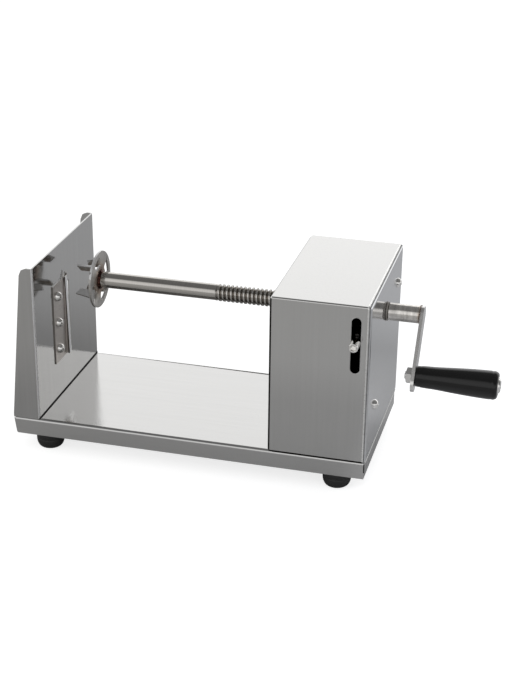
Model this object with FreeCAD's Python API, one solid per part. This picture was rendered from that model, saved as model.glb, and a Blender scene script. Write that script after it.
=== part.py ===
import FreeCAD, Part
import math
import os

"""Tornado potato cutter: a hand-cranked spiral slicer in stainless sheet.

Bench frame, in millimetres: X runs from the blade end to the crank end, Y from the
front skirt to the back skirt, Z up from the tray's lower edge. The finished part is
moved so that its origin is on the table, under the middle of the whole machine.
"""

V = FreeCAD.Vector

# ---------------------------------------------------------------- body
BODY_LEN = 333.0          # tray's blade end to the end plate's outer face
DEPTH = 156.0             # front skirt to back skirt
TRAY_H = 16.5             # lower edge to the deck's top
BODY_TOP = 166.0          # top of the housing and of the blade plate
SHEET = 1.5               # tray, walls and blade plate
COVER_SHEET = 1.2         # housing cover
BEND = 2.5                # outer bend radius of the walls
TRAY_BEND = 1.8           # outer bend radius of the tray
RETURN = 34.0             # tray's turned-in bottom flange
COVER_SEAM = 1.5          # gap between the cover's lower edge and the deck
HOUSING_LEN = 89.5
WALL_FLANGE = 7.5         # flanges of the end plate
WALL_FOOT = 10.5          # flanges of the inner wall, with room for the screws in its foot

# ---------------------------------------------------------------- spindle line
AXIS_DROP = 35.5          # housing's top to the spindle line
AXIS_Y = DEPTH / 2
AXIS_Z = BODY_TOP - AXIS_DROP
RUN_FIT = 0.05            # radial running clearance
GAP = 0.3                 # space between pieces that move past each other

# ---------------------------------------------------------------- blade end
BLADE_FACE = 26.0         # cutting side of the blade plate
FLANGE_TOP_W = 12.6       # side flange at the top
FLANGE_CORNER = 7.0       # its rounded top corner
BLADE_T = 1.0
BLADE_H = 78.5            # height of the blade strip
BLADE_OVER = 1.1          # its top above the spindle line
BLADE_TAB = 27.5          # screwed part of the strip, in front of the step
LIP_RISE = 2.9            # cutting lip's underside above the plate, at the lower end
LIP_RISE_TOP = 1.3        # and at the upper end
LIP_W = 5.8               # step to the cutting edge
EDGE_OFFSET = 0.5         # cutting edge in front of the spindle line
BLADE_BEVEL = 1.2
BLADE_RELIEF_W = 3.2      # relief hole beside the step's upper end
BLADE_RELIEF_H = 7.0
SPUR_W = 5.5              # pointed spur on the strip's upper corner
SPUR_H = 6.7
BLADE_SCREW_PITCH = 26.4
BLADE_SCREW_IN = 10.2     # screws to the strip's front edge
BLADE_SCREW_TOP = 13.1    # upper screw below the strip's top
WINDOW_W = 14.0           # slice outlet in the blade plate
GUIDE_R = 4.0             # skewer guide
GUIDE_BACK = 3.4          # its length behind its flange
GUIDE_FLANGE_R = 6.3
GUIDE_NOSE = 0.4          # its height above the plate
SKEWER_R = 2.6            # its bore

# ---------------------------------------------------------------- pusher
PUSHER_GAP = 33.3         # blade plate to the pusher disc's prong side
DISC_R = 26.8
DISC_T = 2.0
KIDNEY_R1 = 12.8
KIDNEY_R2 = 22.0
KIDNEY_ARC = 42.0         # degrees
KIDNEY_AT = 18.5          # degrees from +Y towards +Z, first of four
KIDNEY_CORNER = 2.0
PRONGS = 4                # one tab bent out of each kidney opening
PRONG_L = 16.7            # disc to the tips
PRONG_SIDE = 0.3          # shear gap beside a tab
PRONG_SLANT = 2.8         # its outer edge is longer than its inner edge
PRONG_BEND = 3.0          # outer bend radius
PRONG_ROOT = 3.0          # its root inside the disc
SHAFT_R = 7.5
SHAFT_NOSE_R = 5.0        # shaft's end, through the disc
WELD_R = 9.3
WELD_L = 2.6

# ---------------------------------------------------------------- lead screw
SCREW_R = 8.0             # crest of the rolled trapezoidal thread
SMOOTH_LEN = 112.0        # disc to the first turn of the thread
HUB_SEAT_R = 6.5          # turned-down end inside the crank hub

# ---------------------------------------------------------------- bushes
BUSH_R = 8.9
BUSH_FLANGE_R = 11.9
BUSH_FLANGE_T = 1.2
INNER_BUSH_L = 9.0
WASHER_R = 8.5
WASHER_T = 1.4

# ---------------------------------------------------------------- crank
HUB_R = 8.0
HUB_L = 29.0
ARM_T = 3.0
ARM_W = 16.0
ARM_REACH = 56.0          # spindle line to the grip bolt
ARM_TAIL = 6.5            # arm's end past the grip bolt
CRANK_ANGLE = -38.0       # from straight down, towards the front
GRIP_L = 72.5
GRIP_R = 12.7             # its thickest part
GRIP_BOLT_R = 4.0
GRIP_WASHER_R = 8.5
GRIP_WASHER_T = 1.5
GRIP_HEAD_R = 6.2
GRIP_HEAD_H = 1.6
GRIP_SINK = 1.2           # recess in the outer end, for the washer
# Share of the grip's length from the arm, and share of GRIP_R there
GRIP_SHAPE = ((0.0, 0.71), (0.01, 0.765), (0.24, 0.82), (0.5, 0.91), (0.74, 0.975), (0.93, 1.0),
              (0.98, 0.93), (1.0, 0.82))

# ---------------------------------------------------------------- release lever
LEVER_T = 3.0
LEVER_INSET = 12.6        # lever's middle plane to the end plate's outer face
PIVOT_INSET = 22.0        # pivot to the back skirt
PIVOT_RISE = 5.4          # pivot above the spindle line
PIVOT_Y = DEPTH - PIVOT_INSET
PIVOT_Z = AXIS_Z + PIVOT_RISE
PIVOT_R = 4.0
LEVER_H = 12.0
PIN_R = 4.2
PIN_BORE_R = 2.6          # hollow end
PIN_BORE_L = 5.0
PIN_TENON_R = 2.9         # its end in the lever
PIN_OUT = 12.0            # pin's length in front of the cover
PIN_RISE = 2.8            # pin above the slot's middle
SLOT_W = 9.0
SLOT_H = 52.5
SLOT_DROP = 1.2           # slot's middle below the spindle line
SLOT_Z = AXIS_Z - SLOT_DROP
PIN_Z = SLOT_Z + PIN_RISE
LEVER_RAMP = 16.0         # run of its slope up to the hump
NUT_L = 12.0
NUT_W = 24.0
NUT_TOP = 19.5            # half nut's top above the spindle line
NUT_CUT = 1.5             # its lower face above the spindle line
SPRING_Y = 35.0
SPRING_REACH = 71.4       # lever's middle down to the spring's post
SPRING_POST_Z = SLOT_Z - SPRING_REACH
SPRING_R = 4.0
SPRING_WIRE = 0.6
SPRING_L = 40.0

# ---------------------------------------------------------------- feet and fasteners
FOOT_R = 13.0
FOOT_H = 16.5
FOOT_X = (29.5, 305.0)
FOOT_INSET = 16.0         # foot's middle to the skirts
PLATE_SCREW_INSET = 52.0  # blade plate's screws to the skirts
WALL_SCREW_INSET = 20.0   # inner wall's screws to the skirts
TAP_DEPTH = 6.0           # screws in the ends of the two posts
M4 = 2.0                  # shank radius
M5 = 2.5
M4_HEAD = 3.8
M4_HEAD_H = 2.2
HEAD_ROOM = 0.4           # a head's edge to a bend
M4_CLEAR = 2.2
M4_FLATS = 7.0
M5_FLATS = 8.0
M4_NUT_H = 3.2
M8_FLATS = 13.0
M8_NUT_H = 5.0

# Stations along X that more than one piece uses
END_FACE = BODY_LEN
END_INSIDE = END_FACE - SHEET
WALL_FACE = END_FACE - HOUSING_LEN
DISC_BACK = BLADE_FACE + PUSHER_GAP
DISC_FACE = DISC_BACK + DISC_T
THREAD_START = DISC_FACE + SMOOTH_LEN
WASHER_X = END_FACE + GAP
HUB_X = WASHER_X + WASHER_T + GAP
ARM_X = HUB_X + HUB_L
GRIP_X = ARM_X + ARM_T + GAP
LEVER_X = END_FACE - LEVER_INSET
LEVER_FRONT = LEVER_X + LEVER_T / 2
LEVER_BACK = LEVER_X - LEVER_T / 2
WALL_TOP = BODY_TOP - COVER_SHEET


# ---------------------------------------------------------------- shape helpers
def box(x0, x1, y0, y1, z0, z1):
    return Part.makeBox(x1 - x0, y1 - y0, z1 - z0, V(x0, y0, z0))


def rod_x(r, x0, x1, y, z):
    return Part.makeCylinder(r, x1 - x0, V(x0, y, z), V(1, 0, 0))


def rod_y(r, y0, y1, x, z):
    return Part.makeCylinder(r, y1 - y0, V(x, y0, z), V(0, 1, 0))


def rod_z(r, z0, z1, x, y):
    return Part.makeCylinder(r, z1 - z0, V(x, y, z0), V(0, 0, 1))


def prism(points, sweep):
    """A closed outline of 3-D points, pushed along the sweep vector."""
    corners = [V(*p) for p in points]
    return Part.Face(Part.makePolygon(corners + corners[:1])).extrude(sweep)


def turned(profile, start, along):
    """A turned piece: (distance, radius) pairs about the line from start along a unit vector."""
    side = V(0, 0, 1) if abs(along.z) < 0.5 else V(1, 0, 0)
    rim = [start + along * d + side * r for d, r in profile]
    first = start + along * profile[0][0]
    last = start + along * profile[-1][0]
    ring = [first] + [p for p in rim if p.distanceToPoint(first) > 1e-6] + [last]
    if ring[-1].distanceToPoint(ring[-2]) < 1e-6:
        ring.pop()
    return Part.Face(Part.makePolygon(ring + ring[:1])).revolve(start, along, 360)


def hexagon_prism(flats, start, along, length):
    """A hexagonal bar, starting at a point and running along a unit vector."""
    side = V(0, 0, 1) if abs(along.z) < 0.5 else V(1, 0, 0)
    other = along.cross(side)
    r = flats / math.sqrt(3)
    ring = []
    for i in range(6):
        a = math.radians(60 * i)
        ring.append(start + side * (r * math.cos(a)) + other * (r * math.sin(a)))
    return Part.Face(Part.makePolygon(ring + ring[:1])).extrude(along * length)


def edges_where(shape, test):
    return [e for e in shape.Edges if test(e.BoundBox)]


def same(a, b):
    return abs(a - b) < 1e-4


def stadium_y(width, height, x, z, y0, y1):
    """An upright slot with round ends, running through along Y."""
    r = width / 2
    straight = height / 2 - r
    middle = box(x - r, x + r, y0, y1, z - straight, z + straight)
    ends = [rod_y(r, y0, y1, x, z + s * straight) for s in (-1, 1)]
    return middle.multiFuse(ends).removeSplitter()


# ---------------------------------------------------------------- fasteners
def button_screw(seat, out, length, r=M4):
    """Button-head screw: head on the seat, pointing out, and its shank going in."""
    head_r = M4_HEAD * r / M4
    head_h = M4_HEAD_H * r / M4
    return turned([(-length, r), (0, r), (0, head_r), (head_h, head_r * 0.6)], seat, out)


def hex_nut(seat, out, flats=M4_FLATS, height=M4_NUT_H, bore=M4):
    hole = turned([(-1, bore), (height + 1, bore)], seat, out)
    return hexagon_prism(flats, seat, out, height).cut(hole)


def group(solids):
    return Part.makeCompound(solids)


# ---------------------------------------------------------------- bent sheet
def pan(face_x, inward, flange, z0, z1, top, foot):
    """A wall of bent sheet: a flat face at face_x with flanges turned inward (+1 or -1)
    along its front and back edges, and along the top and foot where they are wanted."""
    far_x = face_x + inward * flange
    lo, hi = min(face_x, far_x), max(face_x, far_x)
    outer = box(lo, hi, 0, DEPTH, z0, z1)

    def on_face(b):
        if not (same(b.XMin, face_x) and same(b.XMax, face_x)):
            return False
        upright = same(b.YMin, b.YMax)
        at_top = same(b.ZMin, z1) and same(b.ZMax, z1)
        at_foot = same(b.ZMin, z0) and same(b.ZMax, z0)
        return upright or (at_top and top) or (at_foot and foot)

    outer = outer.makeFillet(BEND, edges_where(outer, on_face))
    skin_x = face_x + inward * SHEET
    past_x = far_x + inward
    lo, hi = min(skin_x, past_x), max(skin_x, past_x)
    room_z0 = z0 + SHEET if foot else z0 - 1
    room_z1 = z1 - SHEET if top else z1 + 1
    room = box(lo, hi, SHEET, DEPTH - SHEET, room_z0, room_z1)

    def on_skin(b):
        if not (same(b.XMin, skin_x) and same(b.XMax, skin_x)):
            return False
        upright = same(b.YMin, b.YMax)
        at_top = same(b.ZMin, room_z1) and same(b.ZMax, room_z1)
        at_foot = same(b.ZMin, room_z0) and same(b.ZMax, room_z0)
        return upright or (at_top and top) or (at_foot and foot)

    room = room.makeFillet(BEND - SHEET, edges_where(room, on_skin))
    return outer.cut(room)


def base_tray():
    """Deck with turned-down skirts all round and turned-in flanges along the bottom."""
    length = END_FACE
    outer = box(0, length, 0, DEPTH, 0, TRAY_H)

    def bends(b):
        top = same(b.ZMin, TRAY_H) and same(b.ZMax, TRAY_H)
        blade_end = same(b.XMin, 0) and same(b.XMax, 0)
        return top or blade_end

    outer = outer.makeFillet(TRAY_BEND, edges_where(outer, bends))
    room = box(SHEET, length - SHEET, SHEET, DEPTH - SHEET, SHEET, TRAY_H - SHEET)
    mouth = box(SHEET, length - SHEET, RETURN, DEPTH - RETURN, -1, SHEET + 1)
    tray = outer.cut(room).cut(mouth)
    drills = [rod_z(M4_CLEAR, TRAY_H - SHEET - 1, TRAY_H + 1, x, y) for x, y in deck_screw_places()]
    drills += [rod_z(M4_CLEAR, -1, SHEET + 1, x, y) for x, y in foot_places()]
    return tray.cut(Part.makeCompound(drills))


def blade_plate_screw_places():
    x = BLADE_FACE / 2
    return [(x, PLATE_SCREW_INSET), (x, DEPTH - PLATE_SCREW_INSET)]


def wall_screw_places():
    x = WALL_FACE + WALL_FOOT - M4_HEAD - HEAD_ROOM
    return [(x, WALL_SCREW_INSET), (x, DEPTH - WALL_SCREW_INSET)]


def deck_screw_places():
    return blade_plate_screw_places() + wall_screw_places()


def foot_places():
    return [(x, y) for x in FOOT_X for y in (FOOT_INSET, DEPTH - FOOT_INSET)]


# ---------------------------------------------------------------- blade end
def blade_plate():
    """Upright plate with tapered side flanges, slice window and holes."""
    flange = BLADE_FACE - 0.5
    plate = pan(BLADE_FACE, -1, flange, TRAY_H, BODY_TOP, top=False, foot=True)
    edge_top = BLADE_FACE - FLANGE_TOP_W
    waste = prism([(-5, -1, TRAY_H - 1), (0.5, -1, TRAY_H - 1), (0.5, -1, TRAY_H + 3),
                   (edge_top, -1, BODY_TOP - FLANGE_CORNER),
                   (edge_top + FLANGE_CORNER * 0.3, -1, BODY_TOP - FLANGE_CORNER * 0.3),
                   (edge_top + FLANGE_CORNER, -1, BODY_TOP),
                   (edge_top + FLANGE_CORNER, -1, BODY_TOP + 5), (-5, -1, BODY_TOP + 5)],
                  V(0, DEPTH + 2, 0))
    plate = plate.cut(waste)
    window = box(BLADE_FACE - 4, BLADE_FACE + 1, window_y0(), window_y0() + WINDOW_W,
                 window_z0(), window_z1())
    round_edges = edges_where(window, lambda b: b.XLength > 1)
    window = window.makeFillet(3.0, round_edges)
    tools = [window, rod_x(GUIDE_R, BLADE_FACE - 4, BLADE_FACE + 1, AXIS_Y, AXIS_Z)]
    tools += [rod_x(M5, BLADE_FACE - 4, BLADE_FACE + 1, y, z) for y, z in blade_screw_places()]
    tools += [rod_z(M4_CLEAR, TRAY_H - 1, TRAY_H + 4, x, y) for x, y in blade_plate_screw_places()]
    return plate.cut(Part.makeCompound(tools))


def edge_y():
    """The cutting edge."""
    return AXIS_Y - EDGE_OFFSET


def step_y():
    """Front face of the blade's step, where its screwed part ends."""
    return edge_y() - LIP_W


def blade_y0():
    return step_y() - BLADE_TAB


def blade_z0():
    return blade_z1() - BLADE_H


def blade_z1():
    return AXIS_Z + BLADE_OVER


def window_y0():
    return step_y() + BLADE_T


def window_z0():
    return blade_z0() - 1.5


def window_z1():
    return AXIS_Z - GUIDE_FLANGE_R - GAP


def blade_screw_places():
    y = blade_y0() + BLADE_SCREW_IN
    top = blade_z1() - BLADE_SCREW_TOP
    return [(y, top - BLADE_SCREW_PITCH * i) for i in range(3)]


def blade_section(z, rise):
    """Section of the blade at one height: screwed part, step up by a rise, and a lip that is
    ground to an edge on its outer side."""
    x0 = BLADE_FACE
    x1 = x0 + BLADE_T
    up = x0 + rise
    y1 = step_y()
    corners = [(x0, blade_y0()), (x1, blade_y0()), (x1, y1), (up + BLADE_T, y1),
               (up + BLADE_T, edge_y() - BLADE_BEVEL), (up + 0.15, edge_y()), (up, edge_y()),
               (up, y1 + BLADE_T), (x0, y1 + BLADE_T)]
    points = [V(x, y, z) for x, y in corners]
    return Part.makePolygon(points + points[:1])


def blade():
    """Strip with a step up to a cutting lip that rises towards its foot, and a spur on its
    upper corner."""
    y1 = step_y()
    z1 = blade_z1()
    x0 = BLADE_FACE
    strip = Part.makeLoft([blade_section(blade_z0(), LIP_RISE), blade_section(z1, LIP_RISE_TOP)],
                          True, True)
    spur = prism([(x0, y1 - SPUR_W, z1), (x0, y1 + BLADE_T, z1), (x0, y1, z1 + SPUR_H)],
                 V(BLADE_T, 0, 0))
    relief_top = z1 - BLADE_T
    relief = prism([(x0 - 1, y1 - BLADE_RELIEF_W, relief_top), (x0 - 1, y1, relief_top),
                    (x0 - 1, y1, relief_top - BLADE_RELIEF_H)], V(BLADE_T + 2, 0, 0))
    holes = [rod_x(M5, x0 - 1, x0 + BLADE_T + 1, y, z) for y, z in blade_screw_places()]
    return strip.fuse(spur).cut(relief).cut(Part.makeCompound(holes))


def skewer_guide():
    """Flanged tube that steers the skewer out through the blade plate."""
    flange = BLADE_FACE - 2 * SHEET
    start = flange - GUIDE_BACK
    tip = BLADE_FACE + GUIDE_NOSE
    body = turned([(0, GUIDE_R), (flange - start, GUIDE_R), (flange - start, GUIDE_FLANGE_R),
                   (flange - start + SHEET, GUIDE_FLANGE_R), (flange - start + SHEET, GUIDE_R),
                   (tip - start, GUIDE_R)], V(start, AXIS_Y, AXIS_Z), V(1, 0, 0))
    return body.cut(rod_x(SKEWER_R, start - 1, tip + 1, AXIS_Y, AXIS_Z))


def blade_screws():
    seat = BLADE_FACE + BLADE_T
    length = BLADE_T + SHEET + M4_NUT_H + 1
    return group([button_screw(V(seat, y, z), V(1, 0, 0), length, M5)
                  for y, z in blade_screw_places()])


def blade_nuts():
    return group([hex_nut(V(BLADE_FACE - SHEET, y, z), V(-1, 0, 0), M5_FLATS, M4_NUT_H, M5)
                  for y, z in blade_screw_places()])


def deck_screws(places):
    seat = TRAY_H + SHEET
    return group([button_screw(V(x, y, seat), V(0, 0, 1), SHEET * 2 + M4_NUT_H + 1)
                  for x, y in places])


def deck_nuts(places):
    return group([hex_nut(V(x, y, TRAY_H - SHEET), V(0, 0, -1)) for x, y in places])


# ---------------------------------------------------------------- housing
def inner_wall():
    wall = pan(WALL_FACE, 1, WALL_FOOT, TRAY_H, WALL_TOP, top=True, foot=True)
    tools = [rod_x(BUSH_R, WALL_FACE - 1, WALL_FACE + SHEET + 1, AXIS_Y, AXIS_Z)]
    tools += [rod_z(M4_CLEAR, TRAY_H - 1, TRAY_H + 4, x, y) for x, y in wall_screw_places()]
    return wall.cut(Part.makeCompound(tools))


def end_plate():
    """Wall on the deck's end, flush with the tray's skirt, with flanges all round."""
    wall = pan(END_FACE, -1, WALL_FLANGE, TRAY_H, WALL_TOP, top=True, foot=True)
    tools = [rod_x(BUSH_R, END_INSIDE - 1, END_FACE + 1, AXIS_Y, AXIS_Z)]
    tools += [rod_x(M5, END_INSIDE - 1, END_FACE + 1, y, z) for y, z in post_places()]
    for tool in tools:
        wall = wall.cut(tool)
    return wall


def housing_cover():
    """Front, top and back in one sheet, folded over the two walls, with the lever slot."""
    x0 = WALL_FACE + BEND
    x1 = END_FACE - BEND
    z0 = TRAY_H + COVER_SEAM
    outer = box(x0, x1, -COVER_SHEET, DEPTH + COVER_SHEET, z0, BODY_TOP)
    folds = edges_where(outer, lambda b: same(b.ZMin, BODY_TOP) and b.XLength > 1)
    outer = outer.makeFillet(COVER_SHEET * 1.5, folds)
    room = box(x0 - 1, x1 + 1, 0, DEPTH, z0 - 1, WALL_TOP)
    slot = stadium_y(SLOT_W, SLOT_H, LEVER_X, SLOT_Z, -COVER_SHEET - 1, 1)
    return outer.cut(room).cut(slot)


def post_places():
    return [(PIVOT_Y, PIVOT_Z), (SPRING_Y, SPRING_POST_Z)]


def end_plate_screws():
    return group([button_screw(V(END_FACE, y, z), V(1, 0, 0), SHEET + TAP_DEPTH, M5)
                  for y, z in post_places()])


def inner_bush():
    flange = WALL_FACE + SHEET
    body = turned([(0, BUSH_R), (SHEET, BUSH_R), (SHEET, BUSH_R + 3), (SHEET + 2, BUSH_R + 3),
                   (SHEET + 2, BUSH_R + 0.8), (INNER_BUSH_L, BUSH_R)],
                  V(flange - SHEET, AXIS_Y, AXIS_Z), V(1, 0, 0))
    return body.cut(rod_x(SCREW_R + RUN_FIT, WALL_FACE - 1, WALL_FACE + INNER_BUSH_L + 1,
                          AXIS_Y, AXIS_Z))


def outer_bush():
    """Bush in the end plate, flush with its outer face, with its flange inside."""
    start = END_INSIDE - BUSH_FLANGE_T
    body = turned([(0, BUSH_FLANGE_R), (BUSH_FLANGE_T, BUSH_FLANGE_R), (BUSH_FLANGE_T, BUSH_R),
                   (END_FACE - start, BUSH_R)], V(start, AXIS_Y, AXIS_Z), V(1, 0, 0))
    return body.cut(rod_x(SCREW_R + RUN_FIT, start - 1, END_FACE + 1, AXIS_Y, AXIS_Z))


# ---------------------------------------------------------------- release lever
def lever_pivot_post():
    """Shouldered post for the lever, tapped for its screw through the end plate."""
    shoulder = END_INSIDE - LEVER_FRONT - GAP
    tip = END_INSIDE - LEVER_BACK + 3.5
    groove = END_INSIDE - LEVER_BACK + GAP
    post = turned([(0, PIVOT_R + 2), (shoulder, PIVOT_R + 2), (shoulder, PIVOT_R), (groove, PIVOT_R),
                   (groove, PIVOT_R - 0.8), (groove + 1.2, PIVOT_R - 0.8), (groove + 1.2, PIVOT_R),
                   (tip - 0.6, PIVOT_R), (tip, PIVOT_R - 0.6)],
                  V(END_INSIDE, PIVOT_Y, PIVOT_Z), V(-1, 0, 0))
    return post.cut(rod_x(M5, END_INSIDE - TAP_DEPTH, END_INSIDE + 1, PIVOT_Y, PIVOT_Z))


def pivot_clip():
    """Snap ring in the post's groove, open on one side."""
    x1 = LEVER_BACK - GAP
    ring = rod_x(PIVOT_R + 2.5, x1 - 1.2, x1, PIVOT_Y, PIVOT_Z)
    ring = ring.cut(rod_x(PIVOT_R - 0.8, x1 - 2, x1 + 1, PIVOT_Y, PIVOT_Z))
    return ring.cut(box(x1 - 2, x1 + 1, PIVOT_Y, PIVOT_Y + PIVOT_R + 4,
                        PIVOT_Z - PIVOT_R + 1.4, PIVOT_Z + PIVOT_R - 1.4))


def spring_post():
    """Grooved post that anchors the lever spring."""
    mid = END_INSIDE - LEVER_X
    post = turned([(0, SPRING_R), (mid - 1.2, SPRING_R), (mid - 0.6, SPRING_R - 1),
                   (mid + 0.6, SPRING_R - 1), (mid + 1.2, SPRING_R), (mid + 3.5, SPRING_R)],
                  V(END_INSIDE, SPRING_Y, SPRING_POST_Z), V(-1, 0, 0))
    return post.cut(rod_x(M5, END_INSIDE - TAP_DEPTH, END_INSIDE + 1, SPRING_Y, SPRING_POST_Z))


def lever_low():
    """Lower edge of the lever's straight front part."""
    return PIN_Z - LEVER_H / 2


def spring_z():
    """Lower and upper end of the spring's coils, midway between the post and the lever."""
    middle = (SPRING_POST_Z + SPRING_R + lever_low()) / 2
    return middle - SPRING_L / 2, middle + SPRING_L / 2


def lever_spring():
    """Tension spring as a sleeve of its coils, with the two straight hook ends."""
    z0, z1 = spring_z()
    coils = rod_z(SPRING_R, z0, z1, LEVER_X, SPRING_Y)
    coils = coils.cut(rod_z(SPRING_R - 2 * SPRING_WIRE, z0 + 1, z1 - 1, LEVER_X, SPRING_Y))
    low = rod_z(SPRING_WIRE, SPRING_POST_Z + SPRING_R - 1, z0, LEVER_X, SPRING_Y)
    high = rod_z(SPRING_WIRE, z1, lever_low() - GAP, LEVER_X, SPRING_Y)
    return coils.multiFuse([low, high])


def lever_arm():
    """Flat bar from the pivot, humped over the lead screw, to the slot in the cover."""
    low = lever_low()
    high = PIN_Z + LEVER_H / 2
    hump = AXIS_Z + SCREW_R + 2.5
    hump_top = AXIS_Z + NUT_TOP + 3
    eye = PIVOT_R + 5
    reach = SCREW_R + 6
    outline = [(SHEET + 2.3, low), (AXIS_Y - reach - LEVER_RAMP / 2, low), (AXIS_Y - reach, hump),
               (AXIS_Y + reach, hump), (AXIS_Y + reach + 6, PIVOT_Z - eye + 1),
               (PIVOT_Y, PIVOT_Z - eye), (PIVOT_Y, PIVOT_Z + eye), (AXIS_Y + reach + 10, hump_top),
               (AXIS_Y - reach - 2, hump_top), (AXIS_Y - reach - LEVER_RAMP, high), (SHEET + 2.3, high)]
    bar = prism([(LEVER_BACK, y, z) for y, z in outline], V(LEVER_T, 0, 0))
    bar = bar.fuse(rod_x(eye, LEVER_BACK, LEVER_FRONT, PIVOT_Y, PIVOT_Z)).removeSplitter()
    bores = [rod_x(PIVOT_R + RUN_FIT, LEVER_BACK - 1, LEVER_FRONT + 1, PIVOT_Y, PIVOT_Z)]
    bores += [rod_x(1.2, LEVER_BACK - 1, LEVER_FRONT + 1, SPRING_Y, low + 3)]
    bores += [rod_x(M4, LEVER_BACK - 1, LEVER_FRONT + 1, y, z) for y, z in nut_screw_places()]
    return bar.cut(Part.makeCompound(bores))


def nut_screw_places():
    return [(AXIS_Y + s * (NUT_W / 2 - 5), AXIS_Z + NUT_TOP - 4) for s in (-1, 1)]


def half_nut():
    """Upper half of a nut that drops onto the lead screw, screwed to the lever."""
    x0 = LEVER_BACK - NUT_L
    block = box(x0, LEVER_BACK, AXIS_Y - NUT_W / 2, AXIS_Y + NUT_W / 2,
                AXIS_Z + NUT_CUT, AXIS_Z + NUT_TOP)
    crown = edges_where(block, lambda b: same(b.ZMin, AXIS_Z + NUT_TOP) and b.XLength > 1)
    block = block.makeFillet(3.0, crown)
    tools = [rod_x(SCREW_R + RUN_FIT, x0 - 1, LEVER_BACK + 1, AXIS_Y, AXIS_Z)]
    tools += [rod_x(M4, LEVER_BACK - 8, LEVER_BACK + 1, y, z) for y, z in nut_screw_places()]
    return block.cut(Part.makeCompound(tools))


def half_nut_screws():
    return group([button_screw(V(LEVER_FRONT, y, z), V(1, 0, 0), LEVER_T + 8)
                  for y, z in nut_screw_places()])


def lever_pin():
    """Round finger pin on the lever's end, out through the slot, with a hollow end."""
    start = V(LEVER_X, SHEET + 2.3, PIN_Z)
    shoulder = start.y - COVER_SHEET
    tip = start.y + COVER_SHEET + PIN_OUT
    pin = turned([(0, PIN_TENON_R), (shoulder, PIN_TENON_R), (shoulder, PIN_R), (tip - 0.8, PIN_R),
                  (tip, PIN_R - 0.8)], start, V(0, -1, 0))
    return pin.cut(turned([(tip - PIN_BORE_L, PIN_BORE_R), (tip + 1, PIN_BORE_R)], start,
                          V(0, -1, 0)))


# ---------------------------------------------------------------- spindle
def lead_screw():
    """Smooth shaft with a rolled thread, shown at its crest, and a turned-down crank end."""
    nose = DISC_T + 0.8
    x0 = DISC_FACE - nose
    thread = THREAD_START - x0
    shoulder = WASHER_X - GAP - x0
    screw = turned([(0, SHAFT_NOSE_R - 0.6), (0.6, SHAFT_NOSE_R), (nose, SHAFT_NOSE_R),
                    (nose, SHAFT_R), (thread, SHAFT_R),
                    (thread + 2, SCREW_R), (shoulder, SCREW_R), (shoulder, HUB_SEAT_R),
                    (ARM_X - 2 - x0, HUB_SEAT_R)], V(x0, AXIS_Y, AXIS_Z), V(1, 0, 0))
    return screw.cut(rod_x(SKEWER_R, x0 - 1, x0 + 10, AXIS_Y, AXIS_Z))


def polar(r, degrees):
    a = math.radians(degrees)
    return AXIS_Y + r * math.cos(a), AXIS_Z + r * math.sin(a)


def sector(r0, r1, a0, a1, x0, x1):
    """Part of a flat ring, between two angles in degrees."""
    mid = (a0 + a1) / 2
    points = {}
    for name, r, a in (("a", r0, a0), ("b", r1, a0), ("c", r1, mid), ("d", r1, a1),
                       ("e", r0, a1), ("f", r0, mid)):
        points[name] = V(x0, *polar(r, a))
    wire = Part.Wire([Part.makeLine(points["a"], points["b"]),
                      Part.Arc(points["b"], points["c"], points["d"]).toShape(),
                      Part.makeLine(points["d"], points["e"]),
                      Part.Arc(points["e"], points["f"], points["a"]).toShape()])
    return Part.Face(wire).extrude(V(x1 - x0, 0, 0))


def prong():
    """Tab along +Y, sheared out of a kidney opening, bent at the opening's end and slanted."""
    root_x = DISC_FACE
    tip_x = DISC_BACK - PRONG_L
    y0 = AXIS_Y + KIDNEY_R1 + PRONG_SIDE
    y1 = AXIS_Y + KIDNEY_R2 - PRONG_SIDE
    outline = [(DISC_BACK, PRONG_ROOT), (root_x, PRONG_ROOT), (root_x, -DISC_T), (tip_x, -DISC_T),
               (tip_x, 0), (DISC_BACK, 0)]
    tab = prism([(x, y0, AXIS_Z + z) for x, z in outline], V(0, y1 - y0, 0))
    outside = edges_where(tab, lambda b: same(b.XMin, root_x) and same(b.ZMax, AXIS_Z - DISC_T))
    tab = tab.makeFillet(PRONG_BEND, outside)
    slant = [(tip_x - 1, y0 - 1), (tip_x - 1, y1), (tip_x, y1), (tip_x + PRONG_SLANT, y0),
             (tip_x + PRONG_SLANT, y0 - 1)]
    return tab.cut(prism([(x, y, AXIS_Z - DISC_T - 1) for x, y in slant], V(0, 0, DISC_T + 2)))


def pusher_disc():
    """Disc with four kidney openings, whose tabs are bent towards the blade as prongs."""
    disc = rod_x(DISC_R, DISC_BACK, DISC_FACE, AXIS_Y, AXIS_Z)
    disc = disc.cut(rod_x(SHAFT_NOSE_R, DISC_BACK - 1, DISC_FACE + 1, AXIS_Y, AXIS_Z))
    half = KIDNEY_ARC / 2
    tabs = []
    for i in range(PRONGS):
        middle = KIDNEY_AT + i * 360 / PRONGS
        opening = sector(KIDNEY_R1, KIDNEY_R2, middle - half, middle + half,
                         DISC_BACK - 1, DISC_FACE + 1)
        corners = edges_where(opening, lambda b: b.XLength > 1 and b.YLength < 0.01)
        disc = disc.cut(opening.makeFillet(KIDNEY_CORNER, corners))
        tab = prong()
        tab.rotate(V(0, AXIS_Y, AXIS_Z), V(1, 0, 0), middle + half)
        tabs.append(tab)
    return disc.multiFuse(tabs).removeSplitter()


def disc_weld():
    """Weld bead between the disc and the shaft."""
    bead = turned([(0, WELD_R), (WELD_L * 0.35, WELD_R - 1.0), (WELD_L, SHAFT_R + 0.15)],
                  V(DISC_FACE, AXIS_Y, AXIS_Z), V(1, 0, 0))
    return bead.cut(rod_x(SHAFT_R, DISC_FACE - 1, DISC_FACE + WELD_L + 1, AXIS_Y, AXIS_Z))


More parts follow.
